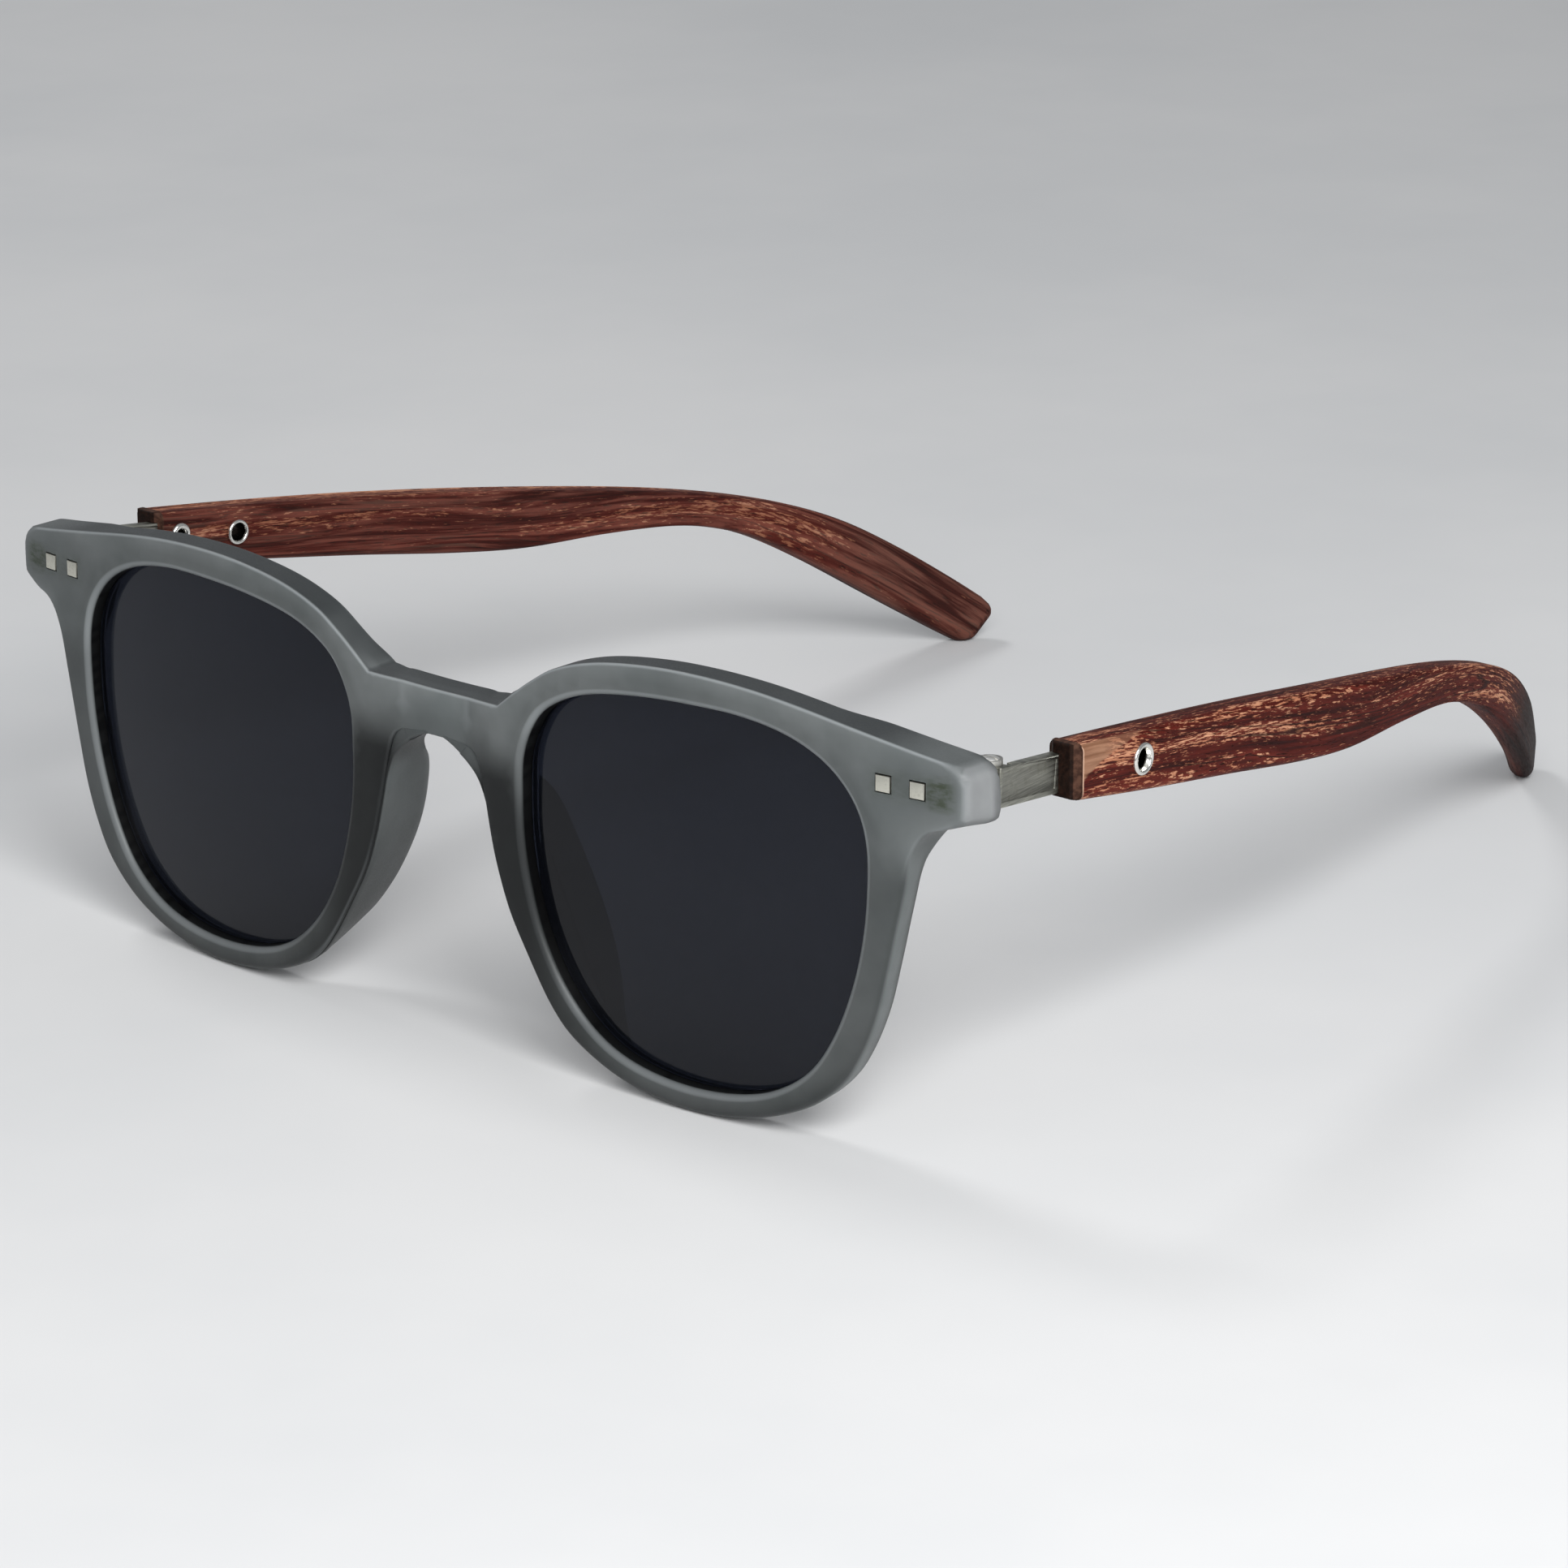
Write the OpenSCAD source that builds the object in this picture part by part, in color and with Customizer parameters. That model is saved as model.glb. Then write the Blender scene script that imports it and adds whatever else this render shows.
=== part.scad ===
// Folding sunglasses: translucent plastic front, tinted lenses, steel hinge tongues and wooden temples.
// Millimetres. +Z up, the front faces -Y, the temples run back along +Y, the wearer's left is +X.

/* [Front] */
// Depth of the plastic rims, front face to back face
rim_depth = 3.9; // [3:0.1:5]
// How strongly the front wraps around the face: millimetres back for each square millimetre across
wrap = 0.00094; // [0.0004:0.00002:0.0016]
// How far the middle facet of the bridge lies back from the rims
bridge_step = 0.5; // [0:0.1:0.8]
// Extra depth of the end pieces that carry the hinges
end_extra = 1.1; // [0.5:0.1:2]
// Height of the nose pads behind the rims
pad_height = 6; // [2:0.1:7]

/* [Lenses] */
// Thickness of each lens
lens_thick = 1.8; // [1.2:0.1:2.2]
// Depth of the lens behind the front face at the edge of the opening
lens_recess = 1.8; // [1:0.1:2]
// How far the middle of the lens bulges forward
lens_bulge = 0.9; // [0:0.1:1.5]
// How far the lens edge enters the groove in the rim
lens_bite = 0.6; // [0.3:0.05:0.9]

/* [Hinges] */
// Radius of the hinge screw's shank
screw_r = 0.6; // [0.5:0.05:0.8]
// Running clearance between the screw and the turning knuckle
screw_gap = 0.04; // [0.01:0.01:0.1]
// Radius of the hinge knuckles
knuckle_r = 1.35; // [1.1:0.05:1.6]
// Side of the square rivet heads
rivet_side = 1.7; // [1.4:0.1:2.6]
// Height of the steel tongue
tongue_h = 4.2; // [3.6:0.1:4.6]
// Thickness of the steel tongue
tongue_t = 1.2; // [0.8:0.1:1.4]

/* [Temples] */
// Thickness of the wood at the hinge end
wood_t0 = 4.3; // [3.8:0.1:5]
// Thickness of the wood at the tip, measured across
wood_t1 = 3.8; // [3.4:0.1:5]
// Edge rounding of the wood
wood_round = 0.9; // [0.3:0.1:1.5]
// Inner radius of the hollow temple eyelets
eyelet_bore = 1.05; // [0.6:0.05:1.15]
// Radius of the eyelet flanges
eyelet_flange = 1.8; // [1.6:0.05:2.1]

/* [Hidden] */

$fn = 48;
eps = 0.02;

// Smooth curve through points: one span, an open run, a closed loop
function cr(a, b, c, d, t) = 0.5 * (2 * b + (c - a) * t + (2 * a - 5 * b + 4 * c - d) * t * t + (3 * b - a - 3 * c + d) * t * t * t);
function run(P, n) = let (m = len(P) - 1)
    [for (i = [0 : m - 1]) for (j = [0 : n - 1]) cr(P[max(i - 1, 0)], P[i], P[i + 1], P[min(i + 2, m)], j / n), P[m]];
function loop(P, n) = let (m = len(P))
    [for (i = [0 : m - 1]) for (j = [0 : n - 1]) cr(P[(i + m - 1) % m], P[i], P[(i + 1) % m], P[(i + 2) % m], j / n)];
function flip(P) = [for (i = [len(P) - 1 : -1 : 0]) [-P[i][0], P[i][1]]];
// Loop moved outwards by d along its own normals (clockwise loop)
function unit(v) = v / norm(v);
function swell(P, d) = let (m = len(P)) [for (i = [0 : m - 1])
    let (t = unit(P[(i + 1) % m] - P[(i + m - 1) % m])) P[i] + d * [-t[1], t[0]]];
function ease(t) = let (s = max(0, min(1, t))) s * s * (3 - 2 * s);
function mix(a, b, t) = a + (b - a) * t;

// Right half of the front seen from ahead, x across and z up, from the bridge's top round to its underside
brow_pts = [[9.6, -1.3], [12, 0.6], [14.5, 2.4], [17.5, 4.2], [21.5, 5.6], [26, 6.5], [32, 7.1], [38, 7.2],
            [44, 6.9], [50, 6.2], [57, 5.1], [64, 4], [68.6, 3.3]];
end_pts = [[69.5, 2.8], [70.1, 2.1], [70.4, 1.2], [70.4, -1.6], [70.2, -2.4], [69.5, -3]];
rim_pts = [[68.4, -3.5], [65.9, -4.3], [64.5, -5.7], [63.6, -7.8], [63, -11], [62, -15.5], [61, -20],
           [59.7, -25.2], [57.9, -29.7], [55.5, -33.5], [51.6, -36.8], [46.8, -39.1], [42, -40.4], [37, -41],
           [32, -40.8], [27, -39.9], [22.5, -38.2], [19, -36], [16.2, -32.8], [13.4, -28.4], [11, -24.2],
           [9.4, -20], [8.3, -16], [7.4, -12.6], [6.2, -10], [4.2, -8.2], [2, -7.2], [0, -6.8]];
half_front = concat([[0, -1.5]], run(brow_pts, 3), end_pts, run(rim_pts, 3));
front_loop = concat(half_front, [for (i = [len(half_front) - 2 : -1 : 1]) [-half_front[i][0], half_front[i][1]]]);

// Left lens opening, clockwise seen from ahead
lens_pts = [[12.7, -11], [13, -6], [15, -1.8], [18, 0.6], [22.5, 2.3], [29, 3.3], [36, 3.7], [43, 3.6],
            [49, 2.5], [53.6, 0.3], [56.7, -3], [58.1, -7], [58.2, -12.5], [57.6, -18], [56.2, -23.6],
            [54, -28.9], [51, -33.2], [46.5, -36.3], [41, -37.9], [34.5, -38.3], [28, -37.4], [23, -35.2],
            [18.7, -31.2], [15.6, -26], [13.8, -20.5], [12.9, -15.5]];
lens_loop = loop(lens_pts, 3);

// Depth of the front face, of the back face, and of the flat behind each end piece
end_x = 59;
end_rise = 0.15;
function face(x) = wrap * x * x + bridge_step * (1 - max(0, min(1, (abs(x) - 4.8) / 4)));
end_y = wrap * end_x * end_x + rim_depth + end_extra;
function back(x) = let (a = abs(x)) a > end_x ? end_y + end_rise * (a - end_x)
    : wrap * x * x + rim_depth + end_extra * ease((a - 52) / 7);
half_x = concat([0, 4.8, 8.8], [for (i = [1 : 20]) 8.8 + 3 * i], [72]);
all_x = concat([for (i = [len(half_x) - 1 : -1 : 1]) -half_x[i]], half_x);

// Hinge axis and the way the temple leaves it
axis_x = 67;
axis_y = 12.4;
toe = 4.8;
slope = 6;
knuckle_h = 1.1;
wood_y0 = 22;

// The open glasses stand on the rims and the temple tips
rim_low = [5.07, -41.02];
tip_low = [140.7, -36.38];
lean = atan2(tip_low[1] - rim_low[1], tip_low[0] - rim_low[0]);
lift = rim_low[0] * sin(lean) - rim_low[1] * cos(lean);
y_mid = 71.75;

module stand() translate([0, -y_mid, lift]) rotate([-lean, 0, 0]) children();
module both(side) if (side < 0) mirror([1, 0, 0]) children(); else children();
// Outline drawn in x and z, pushed through along y
module through(P, y0, y1) translate([0, y1, 0]) rotate([90, 0, 0]) linear_extrude(y1 - y0) polygon(P);
// Band between two depths of the front, as tall as needed
module band(f, g) translate([0, 0, -60]) linear_extrude(80) polygon(concat(f, g));

module temple_frame() translate([axis_x, axis_y, 0]) rotate([0, 0, toe]) rotate([-slope, 0, 0]) children();
module end_frame() translate([end_x, end_y, 0]) rotate([0, 0, atan(end_rise)]) children();
module rivet_frame(x) translate([x, wrap * x * x, 0]) rotate([0, 0, atan(2 * wrap * x)]) rotate([-90, 0, 0]) children();
rivet_x = [60.5, 64.6];
function rivet_len(x) = (end_y + end_rise * (x - end_x) - wrap * x * x) * cos(atan(2 * wrap * x)) + 0.06;

// One plastic front with its two lens openings, lens grooves, rivet holes and hinge pockets
module frame_front() color([0.38, 0.4, 0.41]) stand() difference() {
    intersection() {
        through(front_loop, -5, 20);
        band([for (x = all_x) [x, face(x)]], [for (i = [len(all_x) - 1 : -1 : 0]) [all_x[i], back(all_x[i])]]);
    }
    for (s = [1, -1]) both(s) {
        through(lens_loop, -5, 20);
        // below the end pieces the rims keep their own depth
        translate([0, 0, -26.5]) band(concat([[50, back(50) + 0.3]], [for (i = [0 : 6]) let (x = 54.5 + 3 * i) [x, wrap * x * x + rim_depth]]),
            [[72.5, 30], [50, 30]]);
        intersection() {
            through(swell(lens_loop, lens_bite + 0.1), -5, 20);
            band([for (i = [0 : 8]) let (x = 8 + 7 * i) [x, wrap * x * x + lens_recess + 0.35]],
                 [for (i = [8 : -1 : 0]) let (x = 8 + 7 * i) [x, wrap * x * x + lens_recess + 1.45]]);
        }
        end_frame() translate([0.15, -0.95, -2.25]) cube([8.9, 3, 4.5]);
        for (x = rivet_x) rivet_frame(x) {
            translate([-rivet_side / 2 - 0.15, -rivet_side / 2 - 0.15, -2]) cube([rivet_side + 0.3, rivet_side + 0.3, 3]);
            cylinder(r = 0.65, h = 8);
        }
    }
}

// Nose pad bonded behind the nasal side of the rim: sections along the rim, each standing back from it
pad_path = run([[7.4, -9.4], [8.2, -13], [9.2, -17], [10.6, -21.2], [12.8, -25.6], [15.4, -29.8], [18.2, -33.4], [21.4, -36.2], [24.6, -38.1]], 3);
pad_rise = run([[0, 0.3], [1, 0.84], [2, 1.02], [3, 1.1], [4, 1.12], [5, 1.04], [6, 0.82], [7, 0.44], [8, 0.12]], 3);
pad_wide = run([[0, 2.4], [1, 3.4], [2, 4.2], [3, 4.7], [4, 4.6], [5, 4], [6, 3.1], [7, 2], [8, 1.3]], 3);
pad_sec = [[0.1, 0], [0.04, 0.3], [0.12, 0.62], [0.28, 0.88], [0.48, 1], [0.7, 0.93], [0.87, 0.66], [0.97, 0.3], [1, 0]];
module nose_pad(side) {
    n = len(pad_path);
    m = len(pad_sec);
    pts = [for (i = [0 : n - 1]) let (t = unit(pad_path[min(i + 1, n - 1)] - pad_path[max(i - 1, 0)]), q = [-t[1], t[0]])
        for (s = pad_sec) let (p = pad_path[i] + q * (s[0] * pad_wide[i][1]))
            [p[0], wrap * p[0] * p[0] + rim_depth + eps + s[1] * pad_height * pad_rise[i][1], p[1]]];
    faces = concat([[for (j = [0 : m - 1]) j]], [[for (j = [m - 1 : -1 : 0]) (n - 1) * m + j]],
        [for (i = [0 : n - 2]) for (j = [0 : m - 1]) let (k = (j + 1) % m) each
            [[i * m + k, i * m + j, (i + 1) * m + j], [i * m + k, (i + 1) * m + j, (i + 1) * m + k]]]);
    color([0.38, 0.4, 0.41]) stand() both(side) polyhedron(pts, faces, convexity = 6);
}
module nose_pad_left() nose_pad(1);
module nose_pad_right() nose_pad(-1);

// Tinted lens: a body that fills the opening and a thinner edge that sits in the groove
lens_mid = 35.5;
function lens_y(x) = wrap * x * x + lens_recess - lens_bulge * (1 - pow((x - lens_mid) / 24, 2));
module lens(side) color([0.14, 0.14, 0.16, 0.75]) stand() both(side) union() {
    intersection() {
        through(swell(lens_loop, -0.06), -5, 20);
        band([for (i = [0 : 24]) let (x = 11.5 + 2 * i) [x, lens_y(x)]],
             [for (i = [24 : -1 : 0]) let (x = 11.5 + 2 * i) [x, lens_y(x) + lens_thick]]);
    }
    intersection() {
        difference() {
            through(swell(lens_loop, lens_bite), -5, 20);
            through(swell(lens_loop, -1.2), -6, 21);
        }
        band([for (i = [0 : 8]) let (x = 8 + 7 * i) [x, wrap * x * x + lens_recess + 0.4]],
             [for (i = [8 : -1 : 0]) let (x = 8 + 7 * i) [x, wrap * x * x + lens_recess + 1.4]]);
    }
}
module lens_left() lens(1);
module lens_right() lens(-1);

// Steel plate let into the back of the end piece, with the two outer knuckles
module hinge_plate(side) color([0.72, 0.71, 0.68]) stand() both(side) difference() {
    union() {
        end_frame() translate([0.2, -0.9, -2.2]) cube([8.8, 0.9, 4.4]);
        for (z = [-0.8 - knuckle_h, 0.8]) {
            translate([axis_x - 1.1, axis_y - 3.2, z]) cube([2, 3, knuckle_h]);
            translate([axis_x, axis_y, z]) cylinder(r = knuckle_r, h = knuckle_h);
        }
    }
    translate([axis_x, axis_y, -5]) cylinder(r = screw_r + 0.01, h = 10);
    translate([axis_x, axis_y, 0.3 + knuckle_h]) cylinder(r1 = screw_r + 0.01, r2 = screw_r + 0.81, h = 1);
    for (x = rivet_x) rivet_frame(x) cylinder(r = 0.61, h = 8);
}
module hinge_plate_left() hinge_plate(1);
module hinge_plate_right() hinge_plate(-1);

// Square-headed rivet through the front into the hinge plate, spread behind the plate
module front_rivet(side, x) color([0.8, 0.8, 0.76]) stand() both(side) rivet_frame(x) {
    translate([-rivet_side / 2, -rivet_side / 2, -0.1]) cube([rivet_side, rivet_side, 1.05]);
    translate([0, 0, 0.5]) cylinder(r = 0.6, h = rivet_len(x) - 0.3);
    translate([0, 0, rivet_len(x)]) cylinder(r1 = 0.95, r2 = 0.7, h = 0.35);
}
module front_rivet_left_inner() front_rivet(1, rivet_x[0]);
module front_rivet_left_outer() front_rivet(1, rivet_x[1]);
module front_rivet_right_inner() front_rivet(-1, rivet_x[0]);
module front_rivet_right_outer() front_rivet(-1, rivet_x[1]);

// Hinge screw: slotted head sunk into the top knuckle, shank down to the lower knuckle
module hinge_screw(side) color([0.82, 0.82, 0.8]) stand() both(side) translate([axis_x, axis_y, 0]) difference() {
    union() {
        translate([0, 0, -0.8 - knuckle_h]) cylinder(r = screw_r, h = 1.5 + 2 * knuckle_h);
        translate([0, 0, 0.3 + knuckle_h]) cylinder(r1 = screw_r, r2 = screw_r + 0.4, h = 0.5);
        translate([0, 0, 0.8 + knuckle_h]) cylinder(r1 = screw_r + 0.4, r2 = screw_r + 0.1, h = 0.18);
    }
    translate([-2, -0.14, 0.72 + knuckle_h]) cube([4, 0.28, 1]);
}
module hinge_screw_left() hinge_screw(1);
module hinge_screw_right() hinge_screw(-1);

// Steel tongue: the middle knuckle, a neck, a flat blade that runs into the wood and a thin cheek that covers the knuckles
blade_y0 = 1.75;
cheek_y0 = -1;
blade_y1 = 27;
blade_x = 0.8;
blade_z = -0.8;
eyelet_at = 21.6;
eyelet_z = -0.55;
inner_at = 13;
inner_z = -0.1;
module hinge_tongue(side) color([0.68, 0.67, 0.64]) stand() both(side) difference() {
    union() {
        translate([axis_x, axis_y, -0.7]) cylinder(r = knuckle_r, h = 1.4);
        translate([axis_x, axis_y, -0.7]) rotate([0, 0, toe]) translate([-0.75, 0, 0]) cube([blade_x + tongue_t + 0.75, 2.4, 1.4]);
        temple_frame() translate([blade_x, blade_y0, blade_z - tongue_h / 2]) cube([tongue_t, blade_y1 - blade_y0, tongue_h]);
        temple_frame() translate([knuckle_r + 0.07, cheek_y0, blade_z - tongue_h / 2]) cube([blade_x + tongue_t - knuckle_r - 0.07, blade_y0 - cheek_y0 + 0.2, tongue_h]);
    }
    translate([axis_x, axis_y, -5]) cylinder(r = screw_r + screw_gap, h = 10);
    temple_frame() {
        translate([-5, eyelet_at, eyelet_z]) rotate([0, 90, 0]) cylinder(r = 1.32, h = 12);
        translate([-5, inner_at, inner_z]) rotate([0, 90, 0]) cylinder(r = 1.02, h = 12);
        // shallow panel along the exposed stretch of the blade
        translate([blade_x + tongue_t - 0.12, cheek_y0 + 0.5, blade_z - tongue_h / 2 + 0.55]) cube([1, 9.75, tongue_h - 1.1]);
    }
}
module hinge_tongue_left() hinge_tongue(1);
module hinge_tongue_right() hinge_tongue(-1);

// Wooden temple: upper and lower edge seen from the side, middle line seen from above
edge_up = run([[22, 1.6], [36, 0], [54, -2.3], [72, -5], [90, -8], [102, -10.3], [112, -12.7], [120, -15.2],
               [127, -18.3], [134, -22.6], [140.4, -27.3], [146.2, -32]], 4);
edge_lo = run([[22, -4.4], [36, -6.8], [52, -9.4], [67, -12], [78, -13.4], [90, -13.8], [100, -14.5], [107, -15.9],
               [114, -18.5], [122, -23], [132, -29.7], [142.6, -37]], 4);
mid_line = run([[10, 69.6], [22, 68.6], [40, 67], [60, 64.9], [75, 63], [90, 60.6], [102, 58.3], [114, 55.7],
                [124, 52.8], [134, 48.7], [144, 43.2], [150, 39.8]], 4);
// Ring of the wood: across the thickness u and along the edge-to-edge line v, corners rounded
function ring2(t, h, r) = [for (c = [[1, 1, 0], [-1, 1, 90], [-1, -1, 180], [1, -1, 270]]) for (k = [0 : 4])
    [c[0] * (t / 2 - r) + r * cos(c[2] + 22.5 * k), c[1] * (h / 2 - r) + r * sin(c[2] + 22.5 * k)]];
wood_n = len(edge_up);
wood_rings = concat([[0, 0, 0.36, 1], [0, 0.36, 0, 0.66], [0, 1.05, 0, 0]], [for (i = [1 : wood_n - 3]) [i, 0, 0, 0]],
    [[wood_n - 1, -1.6, 0, 0], [wood_n - 1, -0.8, 0.25, 0.25], [wood_n - 1, -0.25, 0.7, 0.7], [wood_n - 1, 0, 1.3, 1.3]]);
module temple_wood(side) {
    m = 20;
    pts = [for (g = wood_rings) let (i = g[0], U = edge_up[i], L = edge_lo[i], f = i / (wood_n - 1),
            up = unit(U - L), along = [up[1], -up[0]], c = (U + L) / 2 + along * g[1],
            t = mix(wood_t0, wood_t1, f) - 2 * g[3], h = norm(U - L) - 2 * g[2])
        for (q = ring2(t, h, min(mix(wood_round, wood_round + 0.7, f * f), t / 2 - 0.2))) let (p = c + up * q[1]) [lookup(p[0], mid_line) + q[0], p[0], p[1]]];
    n = len(wood_rings);
    faces = concat([[for (j = [0 : m - 1]) j]], [[for (j = [m - 1 : -1 : 0]) (n - 1) * m + j]],
        [for (i = [0 : n - 2]) for (j = [0 : m - 1]) let (k = (j + 1) % m) each
            [[i * m + k, i * m + j, (i + 1) * m + j], [i * m + k, (i + 1) * m + j, (i + 1) * m + k]]]);
    color([0.42, 0.17, 0.1]) stand() both(side) difference() {
        polyhedron(pts, faces, convexity = 8);
        temple_frame() {
            translate([blade_x - 0.04, 4, blade_z - tongue_h / 2 - 0.04]) cube([tongue_t + 0.08, blade_y1 - 3.9, tongue_h + 0.08]);
            translate([-5, eyelet_at, eyelet_z]) rotate([0, 90, 0]) cylinder(r = 1.33, h = 12);
            translate([-5, inner_at, inner_z]) rotate([0, 90, 0]) cylinder(r = 1.03, h = 7.6);
        }
    }
}
module temple_wood_left() temple_wood(1);
module temple_wood_right() temple_wood(-1);

// Hollow eyelet right through wood and tongue: a flared ring outside, a smaller rolled ring inside
eyelet_in = 0.12;
eyelet_out = 4.52;
module temple_eyelet(side) color([0.84, 0.83, 0.8]) stand() both(side) temple_frame()
    translate([0, eyelet_at, eyelet_z]) rotate([0, 90, 0]) rotate_extrude() polygon([
        [eyelet_bore, eyelet_in - 0.35], [1.35, eyelet_in - 0.35], [1.5, eyelet_in - 0.2], [1.5, eyelet_in],
        [1.3, eyelet_in], [1.3, eyelet_out], [eyelet_flange, eyelet_out], [eyelet_flange, eyelet_out + 0.15],
        [eyelet_flange - 0.2, eyelet_out + 0.35], [1.3, eyelet_out + 0.35], [eyelet_bore, eyelet_out - 0.3]]);
module temple_eyelet_left() temple_eyelet(1);
module temple_eyelet_right() temple_eyelet(-1);

// Short tubular rivet that pins the tongue from the inner face only
rivet_in = 0.18;
module inner_rivet(side) color([0.84, 0.83, 0.8]) stand() both(side) temple_frame()
    translate([0, inner_at, inner_z]) rotate([0, 90, 0]) rotate_extrude() polygon([
        [0.6, rivet_in - 0.35], [1.25, rivet_in - 0.35], [1.4, rivet_in - 0.2], [1.4, rivet_in], [1, rivet_in],
        [1, 2.5], [0, 2.5], [0, 1.6], [0.6, 1.6]]);
module inner_rivet_left() inner_rivet(1);
module inner_rivet_right() inner_rivet(-1);

frame_front();
nose_pad_left();
nose_pad_right();
lens_left();
lens_right();
hinge_plate_left();
hinge_plate_right();
front_rivet_left_inner();
front_rivet_left_outer();
front_rivet_right_inner();
front_rivet_right_outer();
hinge_screw_left();
hinge_screw_right();
hinge_tongue_left();
hinge_tongue_right();
temple_wood_left();
temple_wood_right();
temple_eyelet_left();
temple_eyelet_right();
inner_rivet_left();
inner_rivet_right();
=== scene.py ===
import bpy, bmesh, math
import numpy as np
from mathutils import Matrix, Vector
from mathutils.geometry import delaunay_2d_cdt


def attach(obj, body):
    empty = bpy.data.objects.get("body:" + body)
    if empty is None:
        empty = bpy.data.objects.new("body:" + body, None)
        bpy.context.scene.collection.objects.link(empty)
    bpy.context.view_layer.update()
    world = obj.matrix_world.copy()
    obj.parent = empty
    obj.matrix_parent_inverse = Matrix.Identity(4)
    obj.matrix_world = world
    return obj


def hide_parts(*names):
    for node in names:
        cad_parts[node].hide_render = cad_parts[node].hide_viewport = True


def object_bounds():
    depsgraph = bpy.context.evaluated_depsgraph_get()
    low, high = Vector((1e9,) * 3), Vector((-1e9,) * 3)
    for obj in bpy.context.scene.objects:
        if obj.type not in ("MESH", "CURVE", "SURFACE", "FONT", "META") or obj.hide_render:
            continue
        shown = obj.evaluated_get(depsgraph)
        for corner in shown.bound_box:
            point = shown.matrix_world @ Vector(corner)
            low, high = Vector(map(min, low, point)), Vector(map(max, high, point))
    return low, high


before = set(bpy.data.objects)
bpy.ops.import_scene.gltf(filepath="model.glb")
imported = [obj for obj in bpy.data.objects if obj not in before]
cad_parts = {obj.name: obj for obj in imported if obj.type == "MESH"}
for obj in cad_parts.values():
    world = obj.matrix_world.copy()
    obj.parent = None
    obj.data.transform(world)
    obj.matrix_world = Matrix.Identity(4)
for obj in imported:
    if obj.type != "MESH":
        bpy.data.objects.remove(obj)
cad_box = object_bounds()
scene = bpy.context.scene

# ---------------------------------------------------------------------------
# Design numbers, the same as the construction's (millimetres, front frame:
# x across, y back from the front face, z up from the rivet line)
# ---------------------------------------------------------------------------
WRAP, RIM_DEPTH, END_X, END_EXTRA, END_RISE, STEP = 0.00094, 3.9, 59.0, 1.1, 0.15, 0.5
RIM_LOW, TIP_LOW, Y_MID = (5.07, -41.02), (140.7, -36.38), 71.75
LEAN = math.atan2(TIP_LOW[1] - RIM_LOW[1], TIP_LOW[0] - RIM_LOW[0])
LIFT = RIM_LOW[0] * math.sin(LEAN) - RIM_LOW[1] * math.cos(LEAN)
AXIS_X, AXIS_Y, TOE, SLOPE = 67.0, 12.4, math.radians(4.8), math.radians(6.0)

BROW = [[9.6, -1.3], [12, 0.6], [14.5, 2.4], [17.5, 4.2], [21.5, 5.6], [26, 6.5], [32, 7.1], [38, 7.2],
        [44, 6.9], [50, 6.2], [57, 5.1], [64, 4], [68.6, 3.3]]
END = [[69.5, 2.8], [70.1, 2.1], [70.4, 1.2], [70.4, -1.6], [70.2, -2.4], [69.5, -3]]
RIM = [[68.4, -3.5], [65.9, -4.3], [64.5, -5.7], [63.6, -7.8], [63, -11], [62, -15.5], [61, -20],
       [59.7, -25.2], [57.9, -29.7], [55.5, -33.5], [51.6, -36.8], [46.8, -39.1], [42, -40.4], [37, -41],
       [32, -40.8], [27, -39.9], [22.5, -38.2], [19, -36], [16.2, -32.8], [13.4, -28.4], [11, -24.2],
       [9.4, -20], [8.3, -16], [7.4, -12.6], [6.2, -10], [4.2, -8.2], [2, -7.2], [0, -6.8]]
LENS = [[12.7, -11], [13, -6], [15, -1.8], [18, 0.6], [22.5, 2.3], [29, 3.3], [36, 3.7], [43, 3.6],
        [49, 2.5], [53.6, 0.3], [56.7, -3], [58.1, -7], [58.2, -12.5], [57.6, -18], [56.2, -23.6],
        [54, -28.9], [51, -33.2], [46.5, -36.3], [41, -37.9], [34.5, -38.3], [28, -37.4], [23, -35.2],
        [18.7, -31.2], [15.6, -26], [13.8, -20.5], [12.9, -15.5]]
PAD_PATH = [[7.4, -9.4], [8.2, -13], [9.2, -17], [10.6, -21.2], [12.8, -25.6], [15.4, -29.8], [18.2, -33.4], [21.4, -36.2], [24.6, -38.1]]
PAD_RISE = [0.3, 0.84, 1.02, 1.1, 1.12, 1.04, 0.82, 0.44, 0.12]
PAD_WIDE = [2.4, 3.4, 4.2, 4.7, 4.6, 4, 3.1, 2, 1.3]
PAD_HEIGHT = 6.0
EDGE_UP = [[22, 1.6], [36, 0], [54, -2.3], [72, -5], [90, -8], [102, -10.3], [112, -12.7], [120, -15.2],
           [127, -18.3], [134, -22.6], [140.4, -27.3], [146.2, -32]]
EDGE_LO = [[22, -4.4], [36, -6.8], [52, -9.4], [67, -12], [78, -13.4], [90, -13.8], [100, -14.5], [107, -15.9],
           [114, -18.5], [122, -23], [132, -29.7], [142.6, -37]]
MID_LINE = [[10, 69.6], [22, 68.6], [40, 67], [60, 64.9], [75, 63], [90, 60.6], [102, 58.3], [114, 55.7],
            [124, 52.8], [134, 48.7], [144, 43.2], [150, 39.8]]
WOOD_T0, WOOD_T1, WOOD_ROUND = 4.3, 3.8, 0.9
BLADE_X, BLADE_T, BLADE_Y1, BLADE_Z, TONGUE_H = 0.8, 1.2, 27.0, -0.8, 4.2
EYELET_AT, EYELET_Z, EYELET_IN, EYELET_OUT = 21.6, -0.55, 0.12, 4.52
INNER_AT, INNER_Z, RIVET_IN = 13.0, -0.1, 0.18
RIVET_X, RIVET_SIDE = (60.5, 64.6), 1.7
CREASE = (4.8, 8.8)


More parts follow.
